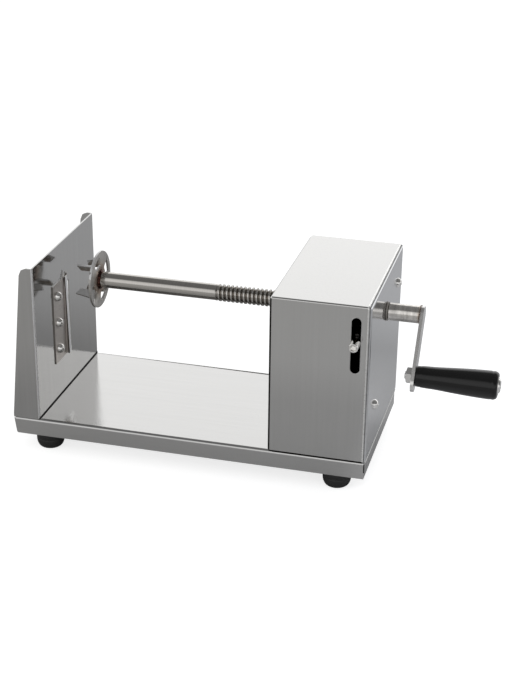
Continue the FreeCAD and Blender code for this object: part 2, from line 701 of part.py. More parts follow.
def thrust_washer():
    ring = rod_x(WASHER_R, WASHER_X, WASHER_X + WASHER_T, AXIS_Y, AXIS_Z)
    bore = rod_x(HUB_SEAT_R + RUN_FIT, WASHER_X - 1, WASHER_X + WASHER_T + 1, AXIS_Y, AXIS_Z)
    return ring.cut(bore)


# ---------------------------------------------------------------- crank
def cranked(shape):
    """Turns a piece made on the hanging crank to the crank's stored angle."""
    turned_piece = shape.copy()
    turned_piece.rotate(V(0, AXIS_Y, AXIS_Z), V(1, 0, 0), CRANK_ANGLE)
    return turned_piece


def grip_z():
    return AXIS_Z - ARM_REACH


def crank_hub():
    tube = turned([(0, HUB_R - 0.6), (0.6, HUB_R), (HUB_L, HUB_R)],
                  V(HUB_X, AXIS_Y, AXIS_Z), V(1, 0, 0))
    tube = tube.cut(rod_x(HUB_SEAT_R, HUB_X - 1, HUB_X + HUB_L - 2, AXIS_Y, AXIS_Z))
    return cranked(tube.cut(rod_y(2.5, AXIS_Y, AXIS_Y + HUB_R + 1, HUB_X + HUB_L / 2, AXIS_Z)))


def hub_set_screw():
    y0 = AXIS_Y + HUB_SEAT_R
    screw = rod_y(2.5, y0, AXIS_Y + HUB_R - 0.3, HUB_X + HUB_L / 2, AXIS_Z)
    socket = hexagon_prism(2.5, V(HUB_X + HUB_L / 2, AXIS_Y + HUB_R - 1.2, AXIS_Z), V(0, 1, 0), 2)
    return cranked(screw.cut(socket))


def crank_arm():
    """Flat bar with round ends, welded across the hub's end."""
    r = ARM_W / 2
    end_z = grip_z() - ARM_TAIL
    bar = box(ARM_X, ARM_X + ARM_T, AXIS_Y - r, AXIS_Y + r, end_z, AXIS_Z)
    ends = [rod_x(r, ARM_X, ARM_X + ARM_T, AXIS_Y, z) for z in (AXIS_Z, end_z)]
    bar = bar.multiFuse(ends).removeSplitter()
    return cranked(bar.cut(rod_x(GRIP_BOLT_R, ARM_X - 1, ARM_X + ARM_T + 1, AXIS_Y, grip_z())))


def washer_x():
    """Inner face of the washer in the grip's outer end."""
    return GRIP_X + GRIP_L - GRIP_SINK + GAP


def grip_bolt():
    """Long bolt through the grip, with its low head at the outer end."""
    start = ARM_X - M8_NUT_H - 1.5
    head = washer_x() + GRIP_WASHER_T - start
    bolt = turned([(0, GRIP_BOLT_R - 0.8), (0.8, GRIP_BOLT_R), (head, GRIP_BOLT_R),
                   (head, GRIP_HEAD_R), (head + GRIP_HEAD_H * 0.5, GRIP_HEAD_R * 0.95),
                   (head + GRIP_HEAD_H, GRIP_HEAD_R * 0.6)],
                  V(start, AXIS_Y, grip_z()), V(1, 0, 0))
    return cranked(bolt)


def grip_nut():
    return cranked(hex_nut(V(ARM_X, AXIS_Y, grip_z()), V(-1, 0, 0), M8_FLATS, M8_NUT_H, GRIP_BOLT_R))


def grip_end_washer():
    x0 = washer_x()
    ring = rod_x(GRIP_WASHER_R, x0, x0 + GRIP_WASHER_T, AXIS_Y, grip_z())
    return cranked(ring.cut(rod_x(GRIP_BOLT_R, x0 - 1, x0 + 3, AXIS_Y, grip_z())))


def grip():
    """Handle that swells towards its recessed outer end, loose on its bolt."""
    body = turned([(share * GRIP_L, swell * GRIP_R) for share, swell in GRIP_SHAPE],
                  V(GRIP_X, AXIS_Y, grip_z()), V(1, 0, 0))
    end = GRIP_X + GRIP_L
    bore = rod_x(GRIP_BOLT_R + RUN_FIT, GRIP_X - 1, end + 1, AXIS_Y, grip_z())
    recess = rod_x(GRIP_WASHER_R + GAP, end - GRIP_SINK, end + 1, AXIS_Y, grip_z())
    return cranked(body.cut(bore).cut(recess))


# ---------------------------------------------------------------- feet
def foot(x, y):
    """Rubber dome with a flat tread and a recess for its screw."""
    body = turned([(0, FOOT_R), (FOOT_H * 0.45, FOOT_R), (FOOT_H * 0.75, FOOT_R * 0.93),
                   (FOOT_H * 0.93, FOOT_R * 0.8), (FOOT_H, FOOT_R * 0.66)], V(x, y, 0), V(0, 0, -1))
    recess = rod_z(M4_HEAD + 1, -FOOT_H - 1, -FOOT_H * 0.5, x, y)
    return body.cut(recess).cut(rod_z(M4, -FOOT_H, 1, x, y))


def foot_screws():
    return group([button_screw(V(x, y, -FOOT_H * 0.5), V(0, 0, -1), FOOT_H * 0.5 + SHEET + M4_NUT_H + 1)
                  for x, y in foot_places()])


def foot_nuts():
    return group([hex_nut(V(x, y, SHEET), V(0, 0, 1)) for x, y in foot_places()])


# ---------------------------------------------------------------- the whole machine
def all_pieces():
    corners = ("front_left", "back_left", "front_right", "back_right")
    pieces = {
        "base_tray": base_tray(),
        "blade_plate": blade_plate(),
        "blade_plate_screws": deck_screws(blade_plate_screw_places()),
        "blade_plate_nuts": deck_nuts(blade_plate_screw_places()),
        "blade": blade(),
        "blade_screws": blade_screws(),
        "blade_nuts": blade_nuts(),
        "skewer_guide": skewer_guide(),
        "inner_wall": inner_wall(),
        "inner_wall_screws": deck_screws(wall_screw_places()),
        "inner_wall_nuts": deck_nuts(wall_screw_places()),
        "end_plate": end_plate(),
        "end_plate_screws": end_plate_screws(),
        "housing_cover": housing_cover(),
        "inner_bush": inner_bush(),
        "outer_bush": outer_bush(),
        "lever_pivot_post": lever_pivot_post(),
        "pivot_clip": pivot_clip(),
        "spring_post": spring_post(),
        "lever_spring": lever_spring(),
        "lever_arm": lever_arm(),
        "half_nut": half_nut(),
        "half_nut_screws": half_nut_screws(),
        "lever_pin": lever_pin(),
        "lead_screw": lead_screw(),
        "pusher_disc": pusher_disc(),
        "disc_weld": disc_weld(),
        "thrust_washer": thrust_washer(),
        "crank_hub": crank_hub(),
        "hub_set_screw": hub_set_screw(),
        "crank_arm": crank_arm(),
        "grip_bolt": grip_bolt(),
        "grip_nut": grip_nut(),
        "grip_end_washer": grip_end_washer(),
        "grip": grip(),
        "foot_screws": foot_screws(),
        "foot_nuts": foot_nuts(),
    }
    for corner, (x, y) in zip(corners, foot_places()):
        pieces["foot_" + corner] = foot(x, y)
    return pieces


def export(pieces):
    """Puts the origin on the table under the middle of the machine, and writes each piece."""
    bounds = FreeCAD.BoundBox()
    for shape in pieces.values():
        bounds.add(shape.optimalBoundingBox(False, False))
    shift = V(-bounds.Center.x, -bounds.Center.y, -bounds.ZMin)
    os.makedirs("parts", exist_ok=True)
    for name, shape in pieces.items():
        shape.translate(shift)
        shape.exportStep("parts/" + name + ".step")
    print("shift", [round(c, 4) for c in shift])


export(all_pieces())
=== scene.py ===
# %% [markdown]
# # A tornado potato cutter
#
# The cutter is a hand-cranked kitchen tool in polished stainless sheet. A lead screw with a
# pronged disc pushes a potato onto an upright blade while the crank turns it, so the potato
# leaves as one long spiral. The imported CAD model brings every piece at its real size. This
# script gives each piece its finish, and replaces those whose looks need more than a plain
# solid: the tray's folds, the thread, the grip, the screw heads, the welds and the feet.
#
# Everything is in metres, in the CAD's own frame: +X runs towards the crank, +Y to the back.

import math
from functools import partialmethod

import bmesh
import bpy
import numpy as np
from mathutils import Matrix, Vector


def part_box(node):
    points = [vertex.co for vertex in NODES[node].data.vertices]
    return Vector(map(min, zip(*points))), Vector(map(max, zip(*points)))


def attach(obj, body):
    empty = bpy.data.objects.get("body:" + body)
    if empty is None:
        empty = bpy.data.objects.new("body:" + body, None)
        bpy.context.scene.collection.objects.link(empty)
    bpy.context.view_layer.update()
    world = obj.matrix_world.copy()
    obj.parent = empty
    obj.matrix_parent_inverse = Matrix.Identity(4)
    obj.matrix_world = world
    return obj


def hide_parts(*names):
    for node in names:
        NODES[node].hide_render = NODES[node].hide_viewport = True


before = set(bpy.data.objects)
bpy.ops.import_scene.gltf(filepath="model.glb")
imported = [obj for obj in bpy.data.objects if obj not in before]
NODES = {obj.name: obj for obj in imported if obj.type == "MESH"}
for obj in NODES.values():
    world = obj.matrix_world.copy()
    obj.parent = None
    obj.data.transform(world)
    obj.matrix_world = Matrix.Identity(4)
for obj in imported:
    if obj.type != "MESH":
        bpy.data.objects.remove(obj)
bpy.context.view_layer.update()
MM = 0.001
print("CAD nodes:", len(NODES))

# %% [markdown]
# ## Places that several steps need
#
# Nothing is placed by eye. The spindle's line, the tray's corner and the grip's line are read
# from the nodes' own boxes, so they stay right when the CAD changes.

# %% Read the main lines of the machine
ALONG_X, ALONG_Y, UP = (1.0, 0.0, 0.0), (0.0, 1.0, 0.0), (0.0, 0.0, 1.0)
TO_FRONT, DOWN = (0.0, -1.0, 0.0), (0.0, 0.0, -1.0)


def box_of(node):
    """The lowest and highest corner of a CAD node, as numpy arrays in metres."""
    lo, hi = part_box(node)
    return np.array(lo), np.array(hi)


def middle_of(node):
    return np.mean(box_of(node), axis=0)


def placed(name, data):
    """A new object of the scene, at the origin."""
    piece = bpy.data.objects.new(name, data)
    bpy.context.scene.collection.objects.link(piece)
    return piece


SPINDLE_Y, SPINDLE_Z = middle_of("disc_weld")[1:]
GRIP_Y, GRIP_Z = middle_of("grip_end_washer")[1:]
TRAY_LO, TRAY_HI = box_of("base_tray")
TRAY_MIDDLE = middle_of("base_tray")
COVER_LO, COVER_HI = box_of("housing_cover")
DISC_FACE_X = box_of("pusher_disc")[1][0]
HUB_HI_X = box_of("crank_hub")[1][0]
print("spindle line at y, z:", round(SPINDLE_Y, 4), round(SPINDLE_Z, 4))
print("grip line at y, z:", round(GRIP_Y, 4), round(GRIP_Z, 4))

# %% [markdown]
# ## The camera
#
# A camera can be nudged by hand until the picture looks right. Here it is aimed instead: a point
# on the machine, two angles and a distance give its place. It stands to the right of the front
# and looks down. The small roll is the tilt of a hand-held camera.

# %% Camera
IMAGE_W, FOCAL_PX, SENSOR_MM, CLIP_END = 525, 1513.3, 36.0, 20
AZIMUTH = math.radians(14.221)  # 0 is the front
ELEVATION = math.radians(24.762)
ROLL = math.radians(0.754)
DISTANCE = 1.40367
AIM = np.array([TRAY_LO[0] + 0.218484, TRAY_MIDDLE[1], TRAY_LO[2] + 0.077457])


def aimed_camera():
    """A camera that looks at AIM: back points from there to the camera."""
    back = np.array([math.sin(AZIMUTH) * math.cos(ELEVATION),
                     -math.cos(AZIMUTH) * math.cos(ELEVATION), math.sin(ELEVATION)])
    right = np.cross(UP, back)
    right /= np.linalg.norm(right)
    up = np.cross(back, right)
    right, up = (math.cos(ROLL) * right + math.sin(ROLL) * up,
                 -math.sin(ROLL) * right + math.cos(ROLL) * up)
    data = bpy.data.cameras.new("camera")
    data.sensor_fit = "HORIZONTAL"
    data.sensor_width = SENSOR_MM
    data.lens = FOCAL_PX * SENSOR_MM / IMAGE_W
    data.clip_end = CLIP_END
    camera = placed("camera", data)
    place = AIM + DISTANCE * back
    camera.matrix_world = Matrix([*np.stack([right, up, back, place], axis=1).tolist(),
                                  [0, 0, 0, 1]])
    return camera


camera = aimed_camera()
bpy.context.scene.camera = camera
print("camera at", [round(c, 3) for c in camera.matrix_world.translation])

# %% [markdown]
# ## Meshes from formulas
#
# A turned or threaded piece is clearest as a formula: a surface is a function of two parameters,
# worked out for a whole grid at once with numpy. These helpers turn such a grid into a closed
# mesh, and hand it to the frame.

# %% Grid helpers
def grid_faces(rows, columns, ring=False):
    """Quads over a grid whose columns close on themselves; with ring, its rows close too."""
    i, j = np.meshgrid(np.arange(rows if ring else rows - 1), np.arange(columns), indexing="ij")
    below, beside = (i + 1) % rows * columns, (j + 1) % columns
    return np.stack([i * columns + j, below + j, below + beside, i * columns + beside],
                    axis=-1).reshape(-1, 4)


def end_caps(rows, columns):
    """The two faces that close a grid's first and last row."""
    first = np.arange(columns)
    return [first[::-1].tolist(), (first + (rows - 1) * columns).tolist()]


def smoothed(mesh, sharp_angle):
    """The mesh, shaded smooth except across edges above an angle."""
    mesh.shade_smooth()
    mesh.set_sharp_from_angle(angle=math.radians(sharp_angle))
    return mesh


def mesh_from(points, faces, sharp_angle=40):
    mesh = bpy.data.meshes.new("piece")
    mesh.from_pydata(points.reshape(-1, 3).tolist(), [], faces)
    mesh.validate()
    return smoothed(mesh, sharp_angle)


def points_of(mesh):
    flat = np.empty(3 * len(mesh.vertices))
    mesh.vertices.foreach_get("co", flat)
    return flat.reshape(-1, 3)


def edited(mesh, edit):
    """The mesh after an edit of it as a bmesh."""
    shape = bmesh.new()
    shape.from_mesh(mesh)
    edit(shape)
    shape.to_mesh(mesh)
    shape.free()
    return mesh


def angles(columns):
    return 2 * np.pi * np.arange(columns) / columns


def frame_about(axis):
    """Two unit vectors square to an axis, so that (axis, first, second) is right-handed."""
    axis = np.array(axis, float) / np.linalg.norm(axis)
    side = np.array(UP) if abs(axis[2]) < 0.9 else np.array(ALONG_X)
    first = side - axis * side.dot(axis)
    first /= np.linalg.norm(first)
    return axis, first, np.cross(axis, first)


def whole_grid(values, columns):
    """One value a row, repeated over the columns; a grid is left as it is."""
    values = np.asarray(values, float)
    return np.repeat(values[:, None], columns, axis=1) if values.ndim == 1 else values


def turned_mesh(start, axis, along, radius, columns=48, ring=False, sharp_angle=40):
    """A closed piece turned about an axis.

    Point(i, j) = start + axis * along(i, j) + radius(i, j) * (cos a first + sin a second), with
    a = 2 pi j / columns. along and radius hold one value a row, or a whole grid. With ring, the
    profile closes on itself, as on a washer. Otherwise both its ends are capped.
    """
    axis, first, second = frame_about(axis)
    along, radius = whole_grid(along, columns), whole_grid(radius, columns)
    angle = angles(columns)[:, None]
    spokes = np.cos(angle) * first + np.sin(angle) * second
    points = np.asarray(start, float) + along[:, :, None] * axis + radius[:, :, None] * spokes
    faces = grid_faces(len(points), columns, ring)[:, ::-1].tolist()
    caps = [] if ring else end_caps(len(points), columns)
    return mesh_from(points, faces + caps, sharp_angle)


def profile_mesh(start, axis, profile, ring=True, **options):
    """turned_mesh from (distance, radius) pairs in millimetres."""
    return turned_mesh(start, axis, *(np.array(profile, float).T * MM), ring=ring, **options)


def joined(meshes, sharp_angle):
    """Several meshes as one, for pieces that the CAD keeps in one node."""
    starts = np.cumsum([0] + [len(mesh.vertices) for mesh in meshes]).tolist()
    faces = [[start + i for i in face.vertices]
             for start, mesh in zip(starts, meshes) for face in mesh.polygons]
    return mesh_from(np.vstack([points_of(mesh) for mesh in meshes]), faces, sharp_angle)


def smooth_step(t):
    t = np.clip(t, 0.0, 1.0)
    return t * t * (3 - 2 * t)


def add_piece(name, mesh, finish, body, slot, *stands_for):
    """Puts a finished mesh in the scene, on its CAD body, in place of CAD nodes if named."""
    piece = placed(name, mesh)
    mesh.materials.append(LOOKS[finish])
    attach(piece, body)
    if stands_for:
        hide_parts(*stands_for)
    print(name, "faces:", len(mesh.polygons))


# %% [markdown]
# ## Node helpers
#
# Shader trees get long when every node is wired by hand. A graph's methods make a node, set its
# numbers and return its output socket, so a material below reads as a sentence.

# %% Node helpers
def grey(value):
    return (value, value, value)


class Graph:
    """A shader tree that is built up by calls. Values are sockets, numbers or colours."""

    def __init__(self, tree):
        self.tree = tree

    def feed(self, socket, value):
        if isinstance(value, bpy.types.NodeSocket):
            self.tree.links.new(value, socket)
        elif socket.type == "RGBA":
            socket.default_value = (*value, 1.0)
        else:
            socket.default_value = value

    def node(self, kind, values=(), named=None, **properties):
        """A new node; values feed its inputs in order, named values those of that name."""
        made = self.tree.nodes.new("ShaderNode" + kind)
        for label, value in properties.items():
            setattr(made, label, value)
        for socket, value in zip(made.inputs, values):
            self.feed(socket, value)
        for label, value in (named or {}).items():
            self.feed(made.inputs[label], value)
        return made

    def maths(self, operation, *values, clamp=False):
        return self.node("Math", values, operation=operation, use_clamp=clamp).outputs[0]

    times = partialmethod(maths, "MULTIPLY")
    plus = partialmethod(maths, "ADD")
    minus = partialmethod(maths, "SUBTRACT")
    larger = partialmethod(maths, "MAXIMUM")
    above = partialmethod(maths, "GREATER_THAN")
    below = partialmethod(maths, "LESS_THAN")

    def vector(self, operation, a, b):
        return self.node("VectorMath", (a, b), operation=operation).outputs

    def ramp(self, factor, stops):
        """A Color Ramp's colour over a factor; stops are (position, colour) pairs."""
        made = self.node("ValToRGB", (factor,))
        elements = made.color_ramp.elements
        while len(elements) < len(stops):
            elements.new(0.5)
        for element, (position, colour) in zip(elements, stops):
            element.position = position
            element.color = (*colour, 1.0)
        return made.outputs[0]

    def spread(self, value, low, high, from_low=0.0, from_high=1.0):
        """Maps a value from one range to another, held inside it."""
        return self.node("MapRange", (value, from_low, from_high, low, high)).outputs[0]

    def mix(self, factor, a, b):
        made = self.node("Mix", (factor,), data_type="RGBA")
        self.feed(made.inputs[6], a)
        self.feed(made.inputs[7], b)
        return made.outputs[2]

    def noise(self, place, scale, detail=2.0, roughness=0.5):
        return self.node("TexNoise", named={"Vector": place, "Scale": scale, "Detail": detail,
                                            "Roughness": roughness}).outputs["Fac"]

    def bump(self, height, strength, distance, **normal):
        return self.node("Bump", named={"Strength": strength, "Distance": distance,
                                        "Height": height, **normal}).outputs["Normal"]

    def xyz(self, vector):
        return tuple(self.node("SeparateXYZ", (vector,)).outputs)

    def place(self):
        return self.node("TexCoord").outputs["Object"]

    def facing(self):
        """X, Y and Z of the normal."""
        return self.xyz(self.node("NewGeometry").outputs["Normal"])

    def group(self, group, **named):
        return self.node("Group", named=named, node_tree=group).outputs

# %% [markdown]
# ## Shared effects
#
# Steel that people handle shows the same few things everywhere: the grain of rolling, a slight
# waviness, smudges and fingerprints, a little dust, and heat colours beside a weld. The inside of
# the housing gets its own mask: it is dull, and painted shade makes it near black. Each is a node
# group, built once and used by many materials.

# %% Node groups
KINDS = {"Vector": "Vector", "Stretch": "Vector", "Normal": "Vector", "Color": "Color"}


def node_group(name, inputs, outputs):
    """Makes a node group, with sockets of these names, of a function that takes a graph and the
    inputs' sockets and returns the outputs' values."""
    def made_of(wiring):
        tree = bpy.data.node_groups.new(name, "ShaderNodeTree")
        for way, labels in (("INPUT", inputs), ("OUTPUT", outputs)):
            for label in labels:
                tree.interface.new_socket(name=label, in_out=way,
                                          socket_type="NodeSocket" + KINDS.get(label, "Float"))
        given = tree.nodes.new("NodeGroupInput").outputs
        taken = tree.nodes.new("NodeGroupOutput").inputs
        g = Graph(tree)
        for socket, value in zip(taken, wiring(g, *[given[label] for label in inputs])):
            g.feed(socket, value)
        return tree
    return made_of


@node_group("fine_grain", ["Vector", "Stretch"], ["Value", "Streak"])
def GRAIN(g, place, stretch):
    """Fine lines: noise on a place that is stretched, so a low stretch makes a long line.
    Streaks are the same six times as wide, the lines that a brush's worn bristles leave."""
    scaled = g.vector("MULTIPLY", place, stretch)[0]
    return g.noise(scaled, 1.0, 3.0, 0.6), g.noise(scaled, 0.17, 2.0, 0.5)


@node_group("sheet_wave", ["Vector", "Strength"], ["Normal"])
def WAVE(g, place, strength):
    """The slight waviness of thin sheet, as a normal: it bends what the sheet mirrors."""
    return [g.bump(g.noise(place, 11.0, 1.0, 0.4), strength, 0.01)]


@node_group("handling", ["Vector"], ["Mask"])
def HANDLING(g, place):
    """Smudges as wide as a palm, with fingerprints in them: blobs crossed by fine ridges."""
    palm = g.spread(g.noise(place, 24.0, 2.0, 0.6), 0.0, 1.0, 0.48, 0.72)
    cells = g.node("TexVoronoi", named={"Vector": place, "Scale": 38.0})
    tips = g.spread(cells.outputs["Distance"], 1.0, 0.0, 0.16, 0.30)
    ridges = g.node("TexWave", named={"Vector": place, "Scale": 330.0, "Distortion": 6.0},
                    wave_type="RINGS")
    prints = g.times(tips, ridges.outputs["Fac"])
    return [g.times(g.plus(prints, 0.35), palm, clamp=True)]


@node_group("dust", ["Vector"], ["Mask"])
def DUST(g, place):
    """Fine dust that settles on what faces up."""
    upward = g.spread(g.facing()[2], 0.0, 1.0, 0.3, 0.9)
    specks = g.spread(g.noise(place, 2600.0, 2.0, 0.7), 0.0, 1.0, 0.56, 0.74)
    return [g.times(upward, specks)]


@node_group("heat_tint", ["Share", "Vector"], ["Color", "Mask"])
def HEAT(g, share, place):
    """Heat colours beside a weld, over the share of the way to where they end."""
    ragged = g.times(g.minus(g.noise(place, 260.0, 3.0, 0.6), 0.5), 0.7)
    share = g.plus(share, ragged, clamp=True)
    colour = g.ramp(share, [(0.0, (0.05, 0.025, 0.02)), (0.22, (0.17, 0.09, 0.055)),
                            (0.45, (0.33, 0.22, 0.14)), (0.7, (0.44, 0.37, 0.29)),
                            (1.0, (0.55, 0.53, 0.50))])
    return colour, g.minus(1.0, share)


SKIN = 0.7 * MM               # part of a sheet's thickness that counts as its outer face
INSIDE_LO = (box_of("inner_wall")[0][0] + SKIN, COVER_LO[1] + 0.12 * MM, TRAY_HI[2] - 0.1 * MM)
INSIDE_HI = (box_of("end_plate")[1][0] - 3.2 * MM, COVER_HI[1] - SKIN, COVER_HI[2] - 2.2 * MM)


@node_group("housing_inside", ["Vector"], ["Mask"])
def INSIDE(g, place):
    """1 inside the housing, else 0: a product of six steps over the sheets' outer faces."""
    mask = 1.0
    for part, low, high in zip(g.xyz(place), INSIDE_LO, INSIDE_HI):
        mask = g.times(g.below(part, high), g.times(g.above(part, low), mask))
    return [mask]


print("node groups:", [group.name for group in bpy.data.node_groups])

# %% [markdown]
# ## Floor, background and light
#
# Polished steel shows what stands round it, so the room matters more than the lamps. The world
# gives reflections a bright, even surround and a darker ceiling, while the camera sees plain
# white. To the right the dark part reaches lower, as a black flag beside a product table does, so
# that small domes get a dark rim. The floor glows a little for the camera only, so that it
# reaches white there and still keeps the machine's soft shadow.

# %% World
ROOM_LEVEL = 0.80
ROOM_STOPS = [(0.0, grey(0.42)), (0.02, grey(0.80)), (0.30, grey(0.95)), (0.62, grey(0.80)),
              (0.78, grey(0.16)), (1.0, grey(0.18))]
BACK_GAIN = 0.45
FLAG_DROP = 0.5               # how much lower the dark part starts on the right


def straight_rays(g):
    """1 for what the camera sees directly or through glass, else 0."""
    rays = g.node("LightPath").outputs
    return g.larger(rays["Is Camera Ray"], rays["Is Transmission Ray"])


def bare_graph(owner):
    """The empty node graph of a world or a material."""
    owner.use_nodes = True
    owner.node_tree.nodes.clear()
    return Graph(owner.node_tree)


def background(g, colour, strength):
    return g.node("Background", named={"Color": colour, "Strength": strength}).outputs[0]


def build_world():
    world = bpy.data.worlds.new("studio")
    bpy.context.scene.world = world
    g = bare_graph(world)
    x, y, z = g.xyz(g.node("TexCoord").outputs["Generated"])
    height = g.plus(z, g.times(x, FLAG_DROP, clamp=True))
    behind = g.times(y, BACK_GAIN, clamp=True)
    mirrored = background(g, g.ramp(height, ROOM_STOPS), g.plus(behind, 1.0))
    plain, white = background(g, grey(1.0), ROOM_LEVEL), background(g, grey(1.0), 1.0)
    glossy = g.node("LightPath").outputs["Is Glossy Ray"]
    room = g.node("MixShader", (glossy, plain, mirrored)).outputs[0]
    whole = g.node("MixShader", (straight_rays(g), room, white)).outputs[0]
    g.node("OutputWorld", (whole,))


build_world()

# %% Floor
FLOOR_SIZE = 8.0
# painted shade on the left, painted light on the right, as from a lamp on the right
FLOOR_SHADED_LEFT = (0.455, 0.452, 0.445)
FLOOR_LIT_RIGHT = (0.56, 0.565, 0.58)
FLOOR_WAY = (0.7, 0.35, 0.0)  # from the left front to the right back
FLOOR_SIDE = (-0.32, 0.30)    # metres along that way
SIDE_PALE, FRONT_PALE = 0.8, 0.72  # shares of the full paleness
FRONT_BAND = (-0.08, 0.08)    # Y over which the front's part fades
# the patch at the crank's end is painted light
CRANK_BAND = (0.08, 0.14)     # X over which the patch at the crank's end begins
CRANK_REACH = (0.02, 0.16)    # distance from the tray over which that patch fades
# painted shadow beside the machine
FLOOR_SHADOW_SHARE = 0.62             # share of its paleness beside the machine, at the back left
FLOOR_REACH = 0.26
FLOOR_PAINTED_LIGHT = (0.79, 0.795, 0.81)  # close to the crank's end, where the key light falls
FLOOR_GLOW = 0.70
GLOW_LIFT = 0.4               # makes up for the duller part


def floor_material():
    """Pale matt floor with painted shadow beside the machine, painted shade to the left and
    painted light at the crank's end, as a table top lit from the right has. What looks at it
    straight also gets an even glow, which makes up for the painted shadow and shade."""
    material = bpy.data.materials.new("floor_pale")
    g = bare_graph(material)
    place = g.place()
    x, y, _ = g.xyz(place)
    away = [g.maths("POWER", g.larger(g.minus(g.maths("ABSOLUTE", part), half), 0.0), 2.0)
            for part, half in zip((x, y), (TRAY_HI - TRAY_LO) / 2)]
    distance = g.maths("SQRT", g.plus(*away))
    far = g.spread(distance, 0.0, 1.0, 0.0, FLOOR_REACH)
    side = g.spread(g.vector("DOT_PRODUCT", place, FLOOR_WAY)["Value"], 0.0, 1.0, *FLOOR_SIDE)
    front = g.times(g.spread(y, FRONT_PALE, 0.0, *FRONT_BAND), g.spread(side, 0.6, 1.0, 0.0, 0.6))
    share = g.larger(far, g.larger(g.times(side, SIDE_PALE), front))
    # painted shadow: the floor's paleness falls off beside the machine and to the left
    near = g.maths("MULTIPLY_ADD", share, 1.0 - FLOOR_SHADOW_SHARE, FLOOR_SHADOW_SHARE)
    # painted light: a paler patch at the crank's end
    beside = g.times(g.spread(x, 0.0, 1.0, *CRANK_BAND),
                     g.spread(distance, 1.0, 0.0, *CRANK_REACH))
    tint = g.mix(beside, g.mix(side, FLOOR_SHADED_LEFT, FLOOR_LIT_RIGHT), FLOOR_PAINTED_LIGHT)
    matt = g.node("BsdfDiffuse", named={"Color": g.mix(near, grey(0.0), tint)})
    lift = g.minus(FLOOR_GLOW + GLOW_LIFT, g.times(near, GLOW_LIFT))
    glow = g.node("Emission", named={"Color": grey(1.0),
                                     "Strength": g.times(straight_rays(g), lift)})
    both = g.node("AddShader", (matt.outputs[0], glow.outputs[0]))
    g.node("OutputMaterial", (both.outputs[0],))
    return material


def build_floor():
    corners = np.array([[-1, -1, 0], [1, -1, 0], [1, 1, 0], [-1, 1, 0]]) * FLOOR_SIZE / 2
    mesh = mesh_from(corners, [[0, 1, 2, 3]])
    mesh.materials.append(floor_material())
    floor = placed("floor", mesh)


build_floor()

# %% Softbox
LAMP_AT, LAMP_AIM = Vector((-1.3, -1.5, 1.5)), Vector((0, 0, 0.08))
LAMP_SIZE, LAMP_WATTS = (1.2, 0.9), 9.0


def build_softbox():
    """An area lamp. It lights matt surfaces; what metal mirrors is the room's own ramp."""
    data = bpy.data.lights.new("key_softbox", "AREA")
    data.shape = "RECTANGLE"
    (data.size, data.size_y), data.energy = LAMP_SIZE, LAMP_WATTS
    lamp = placed("key_softbox", data)
    lamp.location = LAMP_AT
    lamp.visible_glossy = False
    lamp.rotation_euler = (LAMP_AIM - LAMP_AT).to_track_quat("-Z", "Y").to_euler()


build_softbox()

# %% [markdown]
# ## Metal finishes
#
# All the metals share one recipe: a colour that the grain varies a little, a roughness that grain
# and smudges vary, and a normal from the sheet's waviness and the grain's depth. A grain's
# stretch is in lines per metre along X, Y and Z, so it says which way the lines run.

# %% Metal recipe
# painted shade: the near-black colour of the housing's inside
INSIDE_SHADE_COLOUR = (0.022, 0.021, 0.020)
SHEET_COLOUR = (0.60, 0.597, 0.59)
LOOKS = {}                    # finished materials by name


def principled(name, colour, roughness, metallic=0.0):
    """A material with its Principled shader. Returns its graph and the shader's inputs."""
    material = LOOKS[name] = bpy.data.materials.new(name)
    material.use_nodes = True
    inputs = material.node_tree.nodes["Principled BSDF"].inputs
    inputs["Base Color"].default_value = (*colour, 1)
    inputs["Roughness"].default_value = roughness
    inputs["Metallic"].default_value = metallic
    return Graph(material.node_tree), inputs


def shade(colour, factor):
    return tuple(min(1.0, c * factor) for c in colour)


def recolour(g, inputs, mask, colour):
    """Lays a colour over the base colour that is wired already."""
    socket = inputs["Base Color"]
    g.feed(socket, g.mix(mask, socket.links[0].from_socket, colour))


def dull(g, inputs, mask, least):
    """Raises the wired roughness to a least value where a mask is 1."""
    socket = inputs["Roughness"]
    g.feed(socket, g.larger(socket.links[0].from_socket, g.times(mask, least)))


def metal(name, colour, roughness, stretch, contrast, depth, wave, smudge, houses=False):
    """A metal with grain, waviness and handling marks. A sheet that houses the lever work is
    dull inside, and painted near black there as shade. Returns its graph and the shader's inputs."""
    g, inputs = principled(name, colour, roughness, 1.0)
    place = g.place()
    lines = g.group(GRAIN, Vector=place, Stretch=stretch)
    tone = g.spread(lines["Streak"], 0.0, 1.0, 0.3, 0.7)
    marks = g.group(HANDLING, Vector=place)["Mask"]
    even = g.spread(lines["Value"], roughness * 0.8, roughness * 1.2, 0.3, 0.7)
    g.feed(inputs["Base Color"],
           g.mix(tone, shade(colour, 1 - contrast), shade(colour, 1 + contrast)))
    g.feed(inputs["Roughness"], g.maths("MULTIPLY_ADD", marks, smudge, even))
    if houses:
        inside = g.group(INSIDE, Vector=place)["Mask"]
        # painted shade: the inside of the housing is coloured near black
        recolour(g, inputs, inside, INSIDE_SHADE_COLOUR)
        dull(g, inputs, inside, 0.6)
    waves = g.group(WAVE, Vector=place, Strength=wave)["Normal"]
    g.feed(inputs["Normal"], g.bump(lines["Value"], depth, 0.0002, Normal=waves))
    return g, inputs


